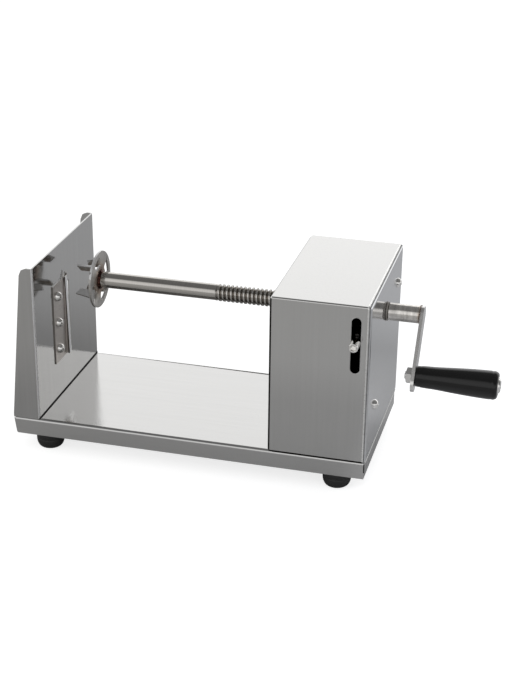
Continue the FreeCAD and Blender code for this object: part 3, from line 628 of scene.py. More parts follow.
FINE = (900, 900, 900)
WIRE = (1200, 1200, 1200)
METALS = {  # colour, roughness, stretch, contrast, depth, wave, smudge, houses
    "sheet_steel": (SHEET_COLOUR, 0.07, (90, 2600, 2600), 0.02, 0.01, 0.02, 0.05, True),
    "tray_steel": (SHEET_COLOUR, 0.10, (60, 2600, 2600), 0.012, 0.16, 0.02, 0.05, True),
    "end_steel": ((0.60, 0.605, 0.615), 0.14, (2600, 90, 2600), 0.02, 0.01, 0.02, 0.05, True),
    "cover_steel": ((0.605, 0.602, 0.593), 0.09, (2600, 2600, 60), 0.014, 0.012, 0.02, 0.05,
                    True),
    # painted shade: the dark strip beside the cover's edge
    "groove_shade_steel": (grey(0.30), 0.5, FINE, 0.2, 0.02, 0.0, 0.05),
    # painted highlight: the bright colour of the rounded bead on the cover's edge
    "edge_highlight_steel": ((0.86, 0.855, 0.84), 0.3, FINE, 0.04, 0.01, 0.0, 0.04),
    # painted shadow: near-black strips along the joints
    "painted_joint_shadow": ((0.012, 0.011, 0.010), 0.6, FINE, 0.2, 0.02, 0.0, 0.05),
    "fastener_steel": ((0.84, 0.83, 0.81), 0.10, FINE, 0.03, 0.01, 0.0, 0.03),
    "turned_steel": ((0.56, 0.54, 0.51), 0.13, (5200, 160, 160), 0.05, 0.02, 0.0, 0.08),
    "arm_steel": ((0.80, 0.79, 0.775), 0.26, (2600, 120, 120), 0.03, 0.02, 0.0, 0.06),
    "dark_steel": ((0.07, 0.068, 0.066), 0.35, WIRE, 0.2, 0.02, 0.0, 0.1),
    "spring_steel": ((0.16, 0.155, 0.15), 0.3, WIRE, 0.2, 0.02, 0.0, 0.1),
    "brass": ((0.62, 0.44, 0.18), 0.28, (3000, 400, 400), 0.08, 0.03, 0.0, 0.1),
    "bronze": ((0.40, 0.29, 0.19), 0.3, (1500, 1500, 1500), 0.15, 0.04, 0.0, 0.1),
    "weld_metal": ((0.06, 0.026, 0.02), 0.16, FINE, 0.5, 0.1, 0.0, 0.1),
}
for name, numbers in METALS.items():
    metal(name, *numbers)
PLATE_LO, PLATE_HI = box_of("blade_plate")
PLATE_FOLD = 2.5 * MM


def plate_material():
    """Sheet, with a painted highlight along its two upright folds."""
    g, inputs = metal("plate_steel", (0.52, 0.517, 0.511), 0.08, (2200, 2200, 60), 0.03,
                      0.01, 0.02, 0.05)
    x, y, _ = g.xyz(g.place())
    middle, half = (PLATE_LO + PLATE_HI)[1] / 2, (PLATE_HI - PLATE_LO)[1] / 2
    from_middle = g.maths("ABSOLUTE", g.minus(y, middle))
    fold = g.times(g.above(from_middle, half - PLATE_FOLD),
                   g.above(x, PLATE_HI[0] - PLATE_FOLD * 0.5))
    # painted highlight: the folds are coloured bright
    recolour(g, inputs, fold, grey(0.80))
    dull(g, inputs, fold, 0.5)


plate_material()
print("metals:", len(LOOKS))

# %% [markdown]
# ## Heat-tinted and welded metal
#
# The disc is welded to the shaft, and the hub to the arm. Welding stainless steel leaves brown
# and straw colours that fade with the distance from the bead.

# %% Disc and hub
TINT_FROM, TINT_REACH = 0.006, 0.022
HUB_TINT_REACH = 0.004
# a cut face that looks up gets a painted highlight
CUT_FLAT, TOP_HIGHLIGHT_Z = 0.5, 0.35  # a cut face's normal: most along X, least along Z


def axis_distance(g):
    """Distance of the shaded point from the spindle's line."""
    _, y, z = g.xyz(g.place())
    across, upward = g.minus(y, SPINDLE_Y), g.minus(z, SPINDLE_Z)
    return g.maths("SQRT", g.plus(g.maths("POWER", across, 2.0), g.maths("POWER", upward, 2.0)))


def heat(g, inputs, share):
    """Lays heat colours over a metal where the share is small."""
    tint = g.group(HEAT, Share=share, Vector=g.place())
    recolour(g, inputs, tint["Mask"], tint["Color"])


def disc_material():
    """Tinted round the weld. Cut faces that look up, away from the flat, get a painted highlight.
    """
    g, inputs = metal("disc_steel", (0.52, 0.505, 0.485), 0.52, (900, 2600, 2600), 0.10,
                      0.05, 0.0, 0.1)
    heat(g, inputs, g.spread(axis_distance(g), 0.0, 1.0, TINT_FROM, TINT_REACH))
    x, _, z = g.facing()
    cut = g.times(g.below(g.maths("ABSOLUTE", x), CUT_FLAT), g.above(z, TOP_HIGHLIGHT_Z))
    # painted highlight on the up-facing cut faces
    recolour(g, inputs, cut, grey(0.85))


def hub_material():
    """Tinted at the end that is welded to the arm."""
    g, inputs = metal("hub_steel", (0.77, 0.745, 0.71), 0.19, (1400, 300, 300), 0.22, 0.12,
                      0.0, 0.15)
    heat(g, inputs, g.spread(g.xyz(g.place())[0], 1.0, 0.25, HUB_HI_X - HUB_TINT_REACH, HUB_HI_X))


disc_material()
hub_material()
print("tinted metals: disc, hub")

# %% [markdown]
# ## The blade's ground and sawn faces
#
# The screwed part of the strip is dull and brownish, and the cutting lip is ground bright on its
# flat. Its top edges get a painted highlight, and its sides that face the front get painted shade,
# darkest on the step's riser. The direction of the face and the place on the strip tell
# them apart, so one material does all.

# %% Blade material
EDGE_LO, EDGE_HI = box_of("blade")
LIP_FROM_Y = EDGE_HI[1] - 6.2 * MM
STRIP_T = 1.0 * MM
STEP_RISE = 2.9 * MM          # at the foot
SPUR_Z = EDGE_HI[2] - 6.7 * MM


def blade_material():
    """Strip colour, mixed to bright on the lip's ground flat, to a painted highlight on the top
    edges and to painted shade on the front-facing sides.
    """
    g, inputs = metal("blade_steel", (0.56, 0.525, 0.495), 0.38, (300, 1500, 5200), 0.10,
                      0.05, 0.0, 0.08)
    face_x, face_y, face_z = g.facing()
    x, y, z = g.xyz(g.place())
    on_lip = g.times(g.above(face_x, 0.6), g.above(y, LIP_FROM_Y))
    top_edge_highlight = g.above(face_z, 0.3)
    shaded_side = g.times(g.below(face_y, -0.9), g.below(z, SPUR_Z))
    height = g.spread(z, 1.0, 0.45, EDGE_LO[2], SPUR_Z)
    level = g.maths("MULTIPLY_ADD", height, STEP_RISE * 0.4, EDGE_LO[0] + STRIP_T)
    shadow = g.above(g.minus(x, level), 0.0)
    front = g.below(y, EDGE_LO[1] + 1 * MM)
    # the lip's ground flat, and a painted highlight on the top edges
    recolour(g, inputs, g.larger(on_lip, top_edge_highlight), grey(0.93))
    # painted shade on the front-facing sides: darkest on the riser, lighter at the strip's front
    # end
    recolour(g, inputs, g.times(shaded_side, shadow), (0.17, 0.155, 0.145))
    recolour(g, inputs, g.times(shaded_side, front), (0.30, 0.28, 0.26))
    dull(g, inputs, top_edge_highlight, 0.6)


blade_material()

# %% [markdown]
# ## Plastic and rubber
#
# The grip is moulded in a glossy black plastic, so nearly all of its look is reflection, with a
# fine orange-peel from the mould. The feet are matt rubber with a little dust.

# %% Grip, rubber and nylon
def moulded(name, colour, roughness, peel, dusty, gloss=0.5):
    """A dark polymer: orange-peel bump, faint smudges in its gloss, and some dust."""
    g, inputs = principled(name, colour, roughness)
    place = g.place()
    amount = g.times(g.group(DUST, Vector=place)["Mask"], dusty)
    marks = g.group(HANDLING, Vector=place)["Mask"]
    g.feed(inputs["Base Color"], g.mix(amount, colour, grey(0.42)))
    g.feed(inputs["Roughness"], g.spread(marks, roughness, roughness + 0.12))
    g.feed(inputs["Normal"], g.bump(g.noise(place, 900.0), peel, 0.0003))
    inputs["Specular IOR Level"].default_value = gloss


moulded("grip_plastic", grey(0.006), 0.14, 0.02, 0.03, gloss=0.38)
moulded("foot_rubber", grey(0.012), 0.5, 0.25, 0.12)
moulded("washer_nylon", (0.26, 0.245, 0.225), 0.3, 0.1, 0.05)

# %% [markdown]
# ## Finishes for the CAD nodes
#
# Every node keeps its exact shape and gets the finish of its real material. Sheet is the same
# steel everywhere, but its grain runs the way the blank lay.

# %% Assign the node materials
FINISHES = {
    "sheet_steel": "inner_wall", "plate_steel": "blade_plate", "end_steel": "end_plate",
    "cover_steel": "housing_cover", "blade_steel": "blade", "hub_steel": "crank_hub",
    "turned_steel": "skewer_guide spring_post", "arm_steel": "crank_arm",
    "dark_steel": "lever_arm lever_pivot_post pivot_clip", "spring_steel": "lever_spring",
    "brass": "half_nut", "bronze": "inner_bush outer_bush", "washer_nylon": "thrust_washer",
    "fastener_steel": "blade_plate_nuts inner_wall_screws inner_wall_nuts half_nut_screws "
                      "hub_set_screw foot_screws foot_nuts",
}
for finish, names in FINISHES.items():
    for name in names.split():
        slots = NODES[name].data.materials
        slots.clear()
        slots.append(LOOKS[finish])
print("nodes finished:", sum(len(names.split()) for names in FINISHES.values()))

# %% [markdown]
# ## Rolled edges of the tray
#
# A press brake leaves a rounder fold along the tray's long sides than at the crank end, where the
# skirt is a short tab. A copy of the node is merged, and each point on a fold moves out along the
# same direction to a fold of another radius, so flat faces and holes stay as they are.

# %% Tray with its real folds
FOLD_R = 1.8 * MM             # radius in the solid
ROUND_R = 3.0 * MM            # along the sides and at the blade end
TIGHT_R = 0.7 * MM            # at the crank end
SKIRT_PROUD = 0.5 * MM        # past the solid's end, at the top of the fold
SKIRT_LEAN = 2.1 * MM         # the skirt at the blade end leans in towards its foot
SKIRT_FADE = 12 * MM          # the lean dies out over this length of the sides
TRAY_DROP = 16.5 * MM
ON_SKIN = 0.02 * MM
FAR = 1.0


def merged_copy(node):
    """A copy of a CAD node's mesh with its loose triangles joined."""
    mesh = NODES[node].data.copy()
    mesh.materials.clear()
    return edited(mesh, lambda shape: bmesh.ops.remove_doubles(shape, verts=shape.verts,
                                                               dist=1e-6))


def with_points(mesh, points, sharp_angle):
    """The mesh with its points moved, shaded smooth except across sharp edges."""
    mesh.vertices.foreach_set("co", points.ravel())
    mesh.update()
    return smoothed(mesh, sharp_angle)


def refolded(points, lo, hi, old, new):
    """Folds between the limits lo and hi get another radius. Returns points and skin directions.

    core = the point held old inside the limits; away = point - core has the length old on a
    fold. The new point is held new inside the limits, plus away / old * new. The direction
    away / old is the outer skin's true normal, and 0 for points that aren't on it.
    """
    away = points - np.clip(points, lo + old, hi - old)
    on_skin = (np.abs(np.linalg.norm(away, axis=1) - old) < ON_SKIN)[:, None]
    moved = np.clip(points - away, lo + new, hi - new) + away / old * new
    return np.where(on_skin, moved, points), np.where(on_skin, away / old, 0)


def with_skin_normals(mesh, normals, sharp_angle):
    """Corners take the skin's direction where it is near their face's own, else the face's."""
    count = len(mesh.polygons)
    face, total, corner = np.empty(3 * count), np.empty(count, int), np.empty(len(mesh.loops), int)
    mesh.polygons.foreach_get("normal", face)
    mesh.polygons.foreach_get("loop_total", total)
    mesh.loops.foreach_get("vertex_index", corner)
    own = np.repeat(face.reshape(-1, 3), total, axis=0)
    skin = normals[corner]
    near = (own * skin).sum(axis=1) > math.cos(math.radians(sharp_angle))
    mesh.normals_split_custom_set(np.where(near[:, None], skin, own))
    return mesh


def tray_mesh():
    """Round folds at the sides and the blade end, tight ones at the crank end, a leaning skirt:
    x += (lean * depth below the deck - proud) * share that fades along the sides."""
    mesh = merged_copy("base_tray")
    points = points_of(mesh)
    sides, side_skin = refolded(points, np.array([*TRAY_LO[:2], -FAR]),
                                np.array([FAR, *TRAY_HI[1:]]), FOLD_R, ROUND_R)
    end, end_skin = refolded(points, np.full(3, -FAR), np.array([TRAY_HI[0], FAR, TRAY_HI[2]]),
                             FOLD_R, TIGHT_R)
    near_end = points[:, 0] > TRAY_HI[0] - 1.2 * FOLD_R
    corner = np.abs(points[:, 1] - TRAY_MIDDLE[1]) > (TRAY_HI - TRAY_LO)[1] / 2 - FOLD_R
    at_end = (near_end & ~corner)[:, None]
    shaped, skin = np.where(at_end, end, sides), np.where(at_end, end_skin, side_skin)
    shaped[near_end & corner, 0] = end[near_end & corner, 0]
    drop = np.clip((TRAY_HI[2] - points[:, 2]) / TRAY_DROP, 0, 1)
    fade = np.clip(1 - (points[:, 0] - TRAY_LO[0]) / SKIRT_FADE, 0, 1)
    shaped[:, 0] += (SKIRT_LEAN * drop - SKIRT_PROUD) * fade
    return with_skin_normals(with_points(mesh, shaped, 40), skin, 40)


add_piece("base_tray_folded", tray_mesh(), "tray_steel", "base", "sheet_steel", "base_tray")

# %% [markdown]
# ## The pusher disc
#
# A tab is sheared free in each kidney opening of the disc and bent over towards the blade.
# Pulling it over leaves it leaning a little, with its outer edge drawn in. The solid has the tabs
# square, so a merged copy gets the lean.

# %% Disc with leaning prongs
PRONG_AT = math.radians(39.5)  # first prong, from +Y towards +Z
PRONG_IN_R = 12.8 * MM
PRONG_OUT_R = 22.0 * MM
LEAN_OUT_R = 19.4 * MM
LEAN_BACK = math.radians(4.0)
LEAN_OVER = 4.0 * MM


def disc_mesh():
    """Each prong's points shift by share(x) * share(radius) * (drawn-in place - square place)."""
    mesh = merged_copy("pusher_disc")
    points = points_of(mesh)
    y, z = points[:, 1] - SPINDLE_Y, points[:, 2] - SPINDLE_Z
    radius, angle = np.hypot(y, z), np.arctan2(z, y)
    prong = PRONG_AT + np.round((angle - PRONG_AT) / (np.pi / 2)) * np.pi / 2
    reach = smooth_step((points[:, 0] - DISC_FACE_X + 2 * MM) / -LEAN_OVER)
    share = reach * np.clip((radius - PRONG_IN_R) / (PRONG_OUT_R - PRONG_IN_R), 0, 1)
    leaning = prong - LEAN_BACK
    points[:, 1] += share * (LEAN_OUT_R * np.cos(leaning) - PRONG_OUT_R * np.cos(prong))
    points[:, 2] += share * (LEAN_OUT_R * np.sin(leaning) - PRONG_OUT_R * np.sin(prong))
    return with_points(mesh, points, 35)


add_piece("pusher_disc_formed", disc_mesh(), "disc_steel", "spindle", "disc_steel", "pusher_disc")

# %% [markdown]
# ## Joint lines
#
# Where two sheets meet there is a thin dark line of shade, and a sheet's edge catches a
# highlight. Both are a small outline carried along a path: a rounded bead painted bright as a
# highlight and a strip painted dark as shade round the cover's edge, and strips of painted shadow
# where sheets stand on sheets.

# %% Lines along the joints
def swept_mesh(path, outline, side=ALONG_X, sharp_angle=50):
    """An outline in millimetres carried along a path: point(i, j) = path[i] + outline[j] in the
    frame of the path's direction there, with side as its first axis. Both ends are capped."""
    path, outline = np.array(path, float), np.array(outline, float) * MM
    along = np.gradient(path, axis=0)
    across = np.cross(along / np.linalg.norm(along, axis=1)[:, None], side)
    across /= np.linalg.norm(across, axis=1)[:, None]
    points = (path[:, None, :] + outline[None, :, :1] * np.array(side)
              + outline[None, :, 1:] * across[:, None, :])
    rows, columns = len(path), len(outline)
    faces = grid_faces(rows, columns).tolist() + end_caps(rows, columns)
    return edited(mesh_from(points, faces, sharp_angle),
                  lambda shape: bmesh.ops.recalc_face_normals(shape, faces=shape.faces))


def arch(x, inset, foot, bend, steps=10):
    """Path up the cover's front, over the top and down the back, at one X, with round corners."""
    front_y, back_y, top = COVER_LO[1] + inset, COVER_HI[1] - inset, COVER_HI[2] - inset
    turn = np.linspace(0, np.pi / 2, steps)
    front = [(x, front_y + bend * (1 - math.cos(a)), top - bend * (1 - math.sin(a)))
             for a in turn]
    back = [(x, back_y - (y - front_y), z) for _, y, z in front[::-1]]
    return [(x, front_y, foot), *front, *back, (x, back_y, foot)]


def round_outline(radius, columns=10):
    angle = angles(columns)
    return np.stack([radius * np.cos(angle), radius * np.sin(angle)], axis=1)


def straight(start, end):
    """Three points on a line, enough for a path's direction."""
    return np.linspace(np.array(start, float), np.array(end, float), 3)


COVER_FOLD = 1.8 * MM
BEAD_R, BEAD_INSET = 0.95, 0.45 * MM
GROOVE_HALF, GROOVE_INSET = 0.75, 1.1 * MM
FOOT_INSET = 1.2 * MM
SLIT_X = TRAY_HI[0] - 1.1 * MM
SEAM_R, SEAM_INSET = 0.45, 0.35 * MM
# painted shadow: the dark strips along the joints; the bead's brightness is a painted highlight
BASE_JOINTS = {  # path, outline, side, finish, slot
    "cover_edge_bead": (
        arch(COVER_HI[0] - 0.35 * MM, BEAD_INSET, COVER_LO[2] + 0.2 * MM, COVER_FOLD),
        round_outline(BEAD_R), ALONG_X, "edge_highlight_steel", "cover_steel"),
    "cover_edge_shadow_strip": (
        arch(COVER_HI[0] + GROOVE_HALF * MM, GROOVE_INSET, TRAY_HI[2] + 0.4 * MM, COVER_FOLD),
        [(-GROOVE_HALF, -0.9), (GROOVE_HALF, -0.9), (GROOVE_HALF, 0.15), (-GROOVE_HALF, 0.5)],
        ALONG_X, "groove_shade_steel", "cover_steel"),
    "plate_foot_line": (
        straight((PLATE_HI[0], PLATE_HI[1] - FOOT_INSET, TRAY_HI[2]),
                 (PLATE_HI[0], PLATE_LO[1] + FOOT_INSET, TRAY_HI[2])),
        [(-1.6, 0.02), (0.2, 0.02), (0.0, 0.9), (-0.5, 2.0)],
        ALONG_X, "painted_joint_shadow", "sheet_steel"),
    "cover_foot_line": (
        straight((COVER_LO[0] + 1.5 * MM, COVER_LO[1], COVER_LO[2]),
                 (COVER_HI[0] - 0.3 * MM, COVER_LO[1], COVER_LO[2])),
        [(0.12, -1.1), (1.2, -1.1), (1.2, 0.35), (0.12, 0.35)],
        ALONG_Y, "painted_joint_shadow", "cover_steel"),
    "tray_corner_slit": (
        straight((SLIT_X, TRAY_LO[1], TRAY_HI[2] - 10 * MM),
                 (SLIT_X, TRAY_LO[1], TRAY_HI[2] - 1.6 * MM)),
        [(-0.45, -0.12), (0.45, -0.12), (0.45, 0.6), (-0.45, 0.6)],
        ALONG_X, "painted_joint_shadow", "sheet_steel"),
    "tray_end_seam": (
        straight((TRAY_HI[0] - SEAM_INSET, TRAY_LO[1] + 2 * MM, TRAY_HI[2] - SEAM_INSET),
                 (TRAY_HI[0] - SEAM_INSET, TRAY_HI[1] - 2 * MM, TRAY_HI[2] - SEAM_INSET)),
        round_outline(SEAM_R), ALONG_X, "plate_steel", "sheet_steel"),
}
for name, (path, outline, side, finish, slot) in BASE_JOINTS.items():
    add_piece(name, swept_mesh(path, outline, side), finish, "base", slot)

# %% [markdown]
# ## The lead screw
#
# The shaft is a polished bar with a rolled trapezoidal thread from its middle to the crank.
# Rolling pushes metal out of the root, so the crest stands a little above the plain bar. A
# formula keeps the run-out and the plain shaft in one closed surface.

# %% Threaded shaft
PITCH = 4.0 * MM
CREST_R = 8.0 * MM
ROOT_R = 6.5 * MM
SHAFT_R = 7.5 * MM
NOSE_R = 5.0 * MM
NOSE_CHAMFER = 0.6 * MM
SEAT_R = 6.5 * MM
SKEWER_R = 2.6 * MM
SKEWER_DEPTH = 10.0 * MM
SMOOTH_LEN = 112.0 * MM
SHOULDER_GAP = 0.3 * MM        # thread's end to the thrust washer
ROWS_PER_PITCH = 18
THREAD_COLUMNS = 80
TURNED = (5200, 160, 160)


def thread_radius(x, angle, start):
    """Radius of the bar at x and angle.

    The ridge's height is a clipped cosine of the phase x / pitch - angle / 2 pi, so that it
    climbs as a right-hand helix. Over the first turn the ridge grows out of the plain bar.
    """
    phase = x / PITCH - angle / (2 * np.pi)
    ridge = smooth_step(0.5 + 0.85 * np.cos(2 * np.pi * phase))
    threaded = ROOT_R + (CREST_R - ROOT_R) * ridge
    return SHAFT_R + smooth_step((x - start) / PITCH) * (threaded - SHAFT_R)


def lead_screw_mesh():
    """Skewer bore and nose, plain bar, thread and turned-down end, as rows along X."""
    (x0, _, _), (x1, _, _) = box_of("lead_screw")
    start = DISC_FACE_X + SMOOTH_LEN
    shoulder = box_of("thrust_washer")[0][0] - SHOULDER_GAP
    thread_x = np.linspace(start, shoulder,
                           int(round((shoulder - start) / PITCH * ROWS_PER_PITCH)))
    thread_r = thread_radius(thread_x[:, None], angles(THREAD_COLUMNS)[None, :], start)
    bore_end = x0 + SKEWER_DEPTH
    nose_x, nose_r = zip((bore_end, 0.05 * MM), (bore_end, SKEWER_R), (x0, SKEWER_R),
                         (x0, NOSE_R - NOSE_CHAMFER), (x0 + NOSE_CHAMFER, NOSE_R),
                         (DISC_FACE_X, NOSE_R), (DISC_FACE_X, SHAFT_R))
    along = np.concatenate([nose_x, thread_x, [shoulder, x1]])
    radius = np.vstack([whole_grid(nose_r, THREAD_COLUMNS), thread_r,
                        whole_grid([SEAT_R, SEAT_R], THREAD_COLUMNS)])
    return turned_mesh((0, SPINDLE_Y, SPINDLE_Z), ALONG_X, along, radius, THREAD_COLUMNS)


def thread_material():
    """Turned steel that is darker near the thread's root."""
    g, inputs = metal("thread_steel", (0.56, 0.54, 0.51), 0.11, TURNED, 0.05, 0.02, 0.0, 0.07)
    near_root = g.spread(axis_distance(g), 1.0, 0.0, ROOT_R, ROOT_R + 0.75 * MM)
    # darker near the thread's root
    recolour(g, inputs, near_root, (0.16, 0.14, 0.12))


thread_material()
add_piece("lead_screw_thread", lead_screw_mesh(), "thread_steel", "spindle", "spindle_steel",
          "lead_screw")

# %% [markdown]
# ## Welds
#
# A hand-laid weld is a row of overlapping ripples. The bead on the disc follows the shaft, and a
# flatter one joins the hub to the arm. Each is a turned profile with a ripple added round the
# axis, and a slower wobble where the hand moved unevenly.

# %% Weld beads
RIPPLES = 17
DISC_BEAD = [(0.0, 7.5), (0.0, 8.9), (0.7, 8.9), (1.5, 8.5), (2.1, 8.0), (2.5, 7.56), (2.5, 7.5)]
HUB_BEAD = [(0.0, 9.2), (-0.9, 8.8), (-1.4, 8.3), (-1.5, 8.0), (0.0, 8.0)]


def bead_mesh(x, profile, ripple, columns=136):
    """A ring-shaped bead on the spindle: radius = profile * (1 + ripple * (|sin(n a / 2)| + slow
    wobble)), strongest on the outer rows, whose radius is largest."""
    along, radius = np.array(profile, float).T * MM
    angle = angles(columns)
    waves = np.abs(np.sin(RIPPLES * angle / 2)) - 0.6 + 0.5 * np.sin(3 * angle + 1.0)
    outer = (radius - radius.min()) / (radius.max() - radius.min())
    grid = radius[:, None] * (1 + ripple * outer[:, None] * waves[None, :])
    return turned_mesh((x, SPINDLE_Y, SPINDLE_Z), ALONG_X, along, grid, columns, ring=True,
                       sharp_angle=60)


add_piece("disc_weld_bead", bead_mesh(DISC_FACE_X, DISC_BEAD, 0.045), "weld_metal", "spindle",
          "weld", "disc_weld")
add_piece("hub_weld_bead", bead_mesh(HUB_HI_X, HUB_BEAD, 0.03), "hub_steel", "spindle",
          "hub_steel")

# %% [markdown]
# ## Screws and nuts
#
# A button head is a low dome with a cross recess, made as a height over a polar grid: rows are
# rings, columns are angles. A nut's outline is a hexagon in polar form, and its corners are
# turned off at 30 degrees.

# %% Screw heads
HEAD_ROWS = 26
HEAD_COLUMNS = 96
CROSS_DEPTH = 0.5             # share of the head's height
CROSS_REACH = 0.5             # share of its radius
CROSS_HALF_W = 0.11           # share of its radius
M5 = (2.5 * MM, 4.75 * MM, 2.75 * MM)  # shank's radius, head's radius and height
M4 = (2.0 * MM, 3.8 * MM, 2.2 * MM)
M5_CROWN = 1.7 * MM           # the real heads are domed more than the solids' plain ones
SCREWS = {  # axis, count, size, crown
    "blade_screws": (ALONG_X, 3, M5, M5_CROWN),
    "end_plate_screws": (ALONG_X, 2, M5, 0.6 * M5_CROWN),
    "blade_plate_screws": (UP, 2, M4, 0.0),
}


def screw_mesh(seat, axis, shank_r, head_r, head_h, length):
    """A dome z = sqrt(S^2 - r^2) - (S - H), less a cross recess, above its shank."""
    sphere = (head_r ** 2 + head_h ** 2) / (2 * head_h)
    rings = head_r * np.linspace(0.004, 1.0, HEAD_ROWS)
    angle = angles(HEAD_COLUMNS)
    u = np.abs(rings[:, None] * np.cos(angle)[None, :])
    v = np.abs(rings[:, None] * np.sin(angle)[None, :])
    arm = smooth_step((CROSS_HALF_W * head_r - np.minimum(u, v)) / (0.06 * head_r) + 0.5)
    reach = smooth_step((CROSS_REACH * head_r - np.maximum(u, v)) / (0.12 * head_r) + 0.5)
    dome = np.sqrt(sphere ** 2 - rings ** 2)[:, None] - (sphere - head_h)
    height = dome - CROSS_DEPTH * head_h * arm * reach
    along = np.vstack([height, whole_grid([0.0, -length], HEAD_COLUMNS)])
    radius = whole_grid([*rings, shank_r, shank_r], HEAD_COLUMNS)
    return turned_mesh(seat, axis, along[::-1], radius[::-1], HEAD_COLUMNS, sharp_angle=50)


def row_places(node, head_r, count):
    """Centres of a node's equal screws, spaced evenly between its box's two far corners."""
    lo, hi = box_of(node)
    first, last = lo + head_r, hi - head_r
    return first + (last - first) * np.linspace(0, 1, count)[:, None]


def screws_for(node, axis, count, size, crown):
    """The screws of one CAD node: seat and shank's end as there, the dome higher by crown."""
    shank_r, head_r, head_h = size
    lo, hi = box_of(node)
    side = int(np.argmax(axis))
    seats = row_places(node, head_r, count)
    seats[:, side] = hi[side] - head_h
    length = (hi[side] - lo[side]) - head_h
    return joined([screw_mesh(seat, axis, shank_r, head_r, head_h + crown, length)
                   for seat in seats], 50)


for node, numbers in SCREWS.items():
    add_piece(node + "_domed", screws_for(node, *numbers), "fastener_steel", "base",
              "fastener_steel", node)

# %% Nuts
M5_FLATS, M8_FLATS = 8.0 * MM, 13 * MM


def nut_mesh(node, y, z, flats, bore, columns=96, turn=0.0):
    """A hexagon nut as thick as its node: outline r(a) = flats / 2 / cos(a mod 60 - 30), its
    corners cut at 30 degrees where they pass the circle across its flats."""
    lo, hi = box_of(node)
    height = hi[0] - lo[0]
    sixth = np.mod(angles(columns) + turn, np.pi / 3) - np.pi / 6
    corner = flats / 2 / np.cos(sixth)
    face_r = flats / 2 * 0.97
    drop = (corner - face_r) * math.tan(math.radians(30))
    flat = np.ones(columns)
    radius = np.vstack([bore * flat, face_r * flat, corner, corner, face_r * flat, bore * flat])
    along = np.vstack([0 * flat, 0 * flat, drop, height - drop, height * flat, height * flat])
    return turned_mesh((lo[0], y, z), ALONG_X, along, radius, columns, ring=True, sharp_angle=25)


add_piece("blade_nuts_hex", joined([nut_mesh("blade_nuts", y, z, M5_FLATS, M5[0])
                                    for _, y, z in row_places("blade_screws", M5[1], 3)], 25),
          "fastener_steel", "base", "fastener_steel", "blade_nuts")

# %% [markdown]
# ## The lever's pin
#
# The pin is a short polished tube on the lever's end, which the user lifts with a finger. Its
# mouth is rounded so that it doesn't cut.

# %% Lever pin
PIN_AT = middle_of("lever_pin")
PIN_R = 4.2
PIN_BORE_R = 2.6
PIN_BORE_L = 5.0
PIN_TENON_R, PIN_TENON_L = 2.9, 2.6
HAIR_R = 0.02                  # all but closes a blind face, before its cap


def lever_pin_mesh():
    """Turned tube along -Y: tenon, shoulder, body, rounded mouth and blind bore."""
    lo, hi = box_of("lever_pin")
    length = (hi[1] - lo[1]) / MM
    lip = PIN_R - PIN_BORE_R
    mouth = [(length - lip / 2 * (1 - math.sin(a)),
              (PIN_R + PIN_BORE_R) / 2 + lip / 2 * math.cos(a))
             for a in np.radians((0, 30, 60, 90, 120, 150, 180))]
    profile = [(0, HAIR_R), (0, PIN_TENON_R), (PIN_TENON_L, PIN_TENON_R), (PIN_TENON_L, PIN_R),
               *mouth, (length - PIN_BORE_L, PIN_BORE_R), (length - PIN_BORE_L, HAIR_R)]
    return profile_mesh((PIN_AT[0], hi[1], PIN_AT[2]), TO_FRONT, profile, ring=False)


add_piece("lever_pin_tube", lever_pin_mesh(), "fastener_steel", "lever", "lever_steel",
          "lever_pin")

# %% [markdown]
# ## The grip and its bolt
#
# The grip swells towards its free end. A short collar meets the arm, a shallow groove sets it
# off, and the outer end is rounded into a rim with a recess for the washer. Its profile is a
# smooth curve through a few stations.

# %% Grip
GRIP_R = 12.7
GRIP_STATIONS = ((0.0, 0.71), (0.05, 0.745), (0.24, 0.795), (0.5, 0.9), (0.74, 0.975),
                 (0.90, 1.0), (1.0, 1.0))
COLLAR = 4.2
RIM_ROUND = 4.6
GRIP_BORE_R = 4.05
GRIP_SINK = 1.2
RECESS_R = 8.8


def smooth_curve(stations, at):
    """Cubic through the stations, with a slope at each from its two neighbours."""
    x, y = np.array(stations, float).T
    slope = np.gradient(y, x)
    k = np.clip(np.searchsorted(x, at, side="right") - 1, 0, len(x) - 2)
    width = x[k + 1] - x[k]
    t = (at - x[k]) / width
    return ((2 * t**3 - 3 * t**2 + 1) * y[k] + (t**3 - 2 * t**2 + t) * width * slope[k]
            + (-2 * t**3 + 3 * t**2) * y[k + 1] + (t**3 - t**2) * width * slope[k + 1])


def grip_part(node, profile_of, **options):
    """A part turned about the grip's line, from its node's end and its length in millimetres."""
    lo, hi = box_of(node)
    return profile_mesh((lo[0], GRIP_Y, GRIP_Z), ALONG_X, profile_of((hi[0] - lo[0]) / MM),
                        **options)


def grip_profile(length):
    """Profile radius = swell(share) less the collar's groove, with an elliptic rim."""
    along = np.concatenate([np.linspace(0.35, length - RIM_ROUND, 60),
                            length - RIM_ROUND * (1 - np.sin(np.linspace(0.1, np.pi / 2, 10)))])
    radius = GRIP_R * smooth_curve(GRIP_STATIONS, along / length)
    radius -= 0.45 * np.exp(-((along - COLLAR) / 0.45) ** 2)
    radius -= 0.5 * np.exp(-((along - length + RIM_ROUND + 0.6) / 0.6) ** 2)
    past = np.clip((along - length + RIM_ROUND) / RIM_ROUND, 0, 1)
    radius -= (radius - RECESS_R - 0.9) * (1 - np.sqrt(1 - past**2 * 0.98))
    return [(0.0, GRIP_BORE_R), (0.0, radius[0] - 0.5), *zip(along, radius),
            (length, RECESS_R + 0.3), (length - 0.3, RECESS_R), (length - GRIP_SINK, RECESS_R),
            (length - GRIP_SINK, GRIP_BORE_R)]


add_piece("grip_moulded", grip_part("grip", grip_profile, columns=72, sharp_angle=50),
          "grip_plastic", "grip", "grip_plastic", "grip")

# %% Grip bolt, washer and nut
BOLT_HEAD_H = 1.6


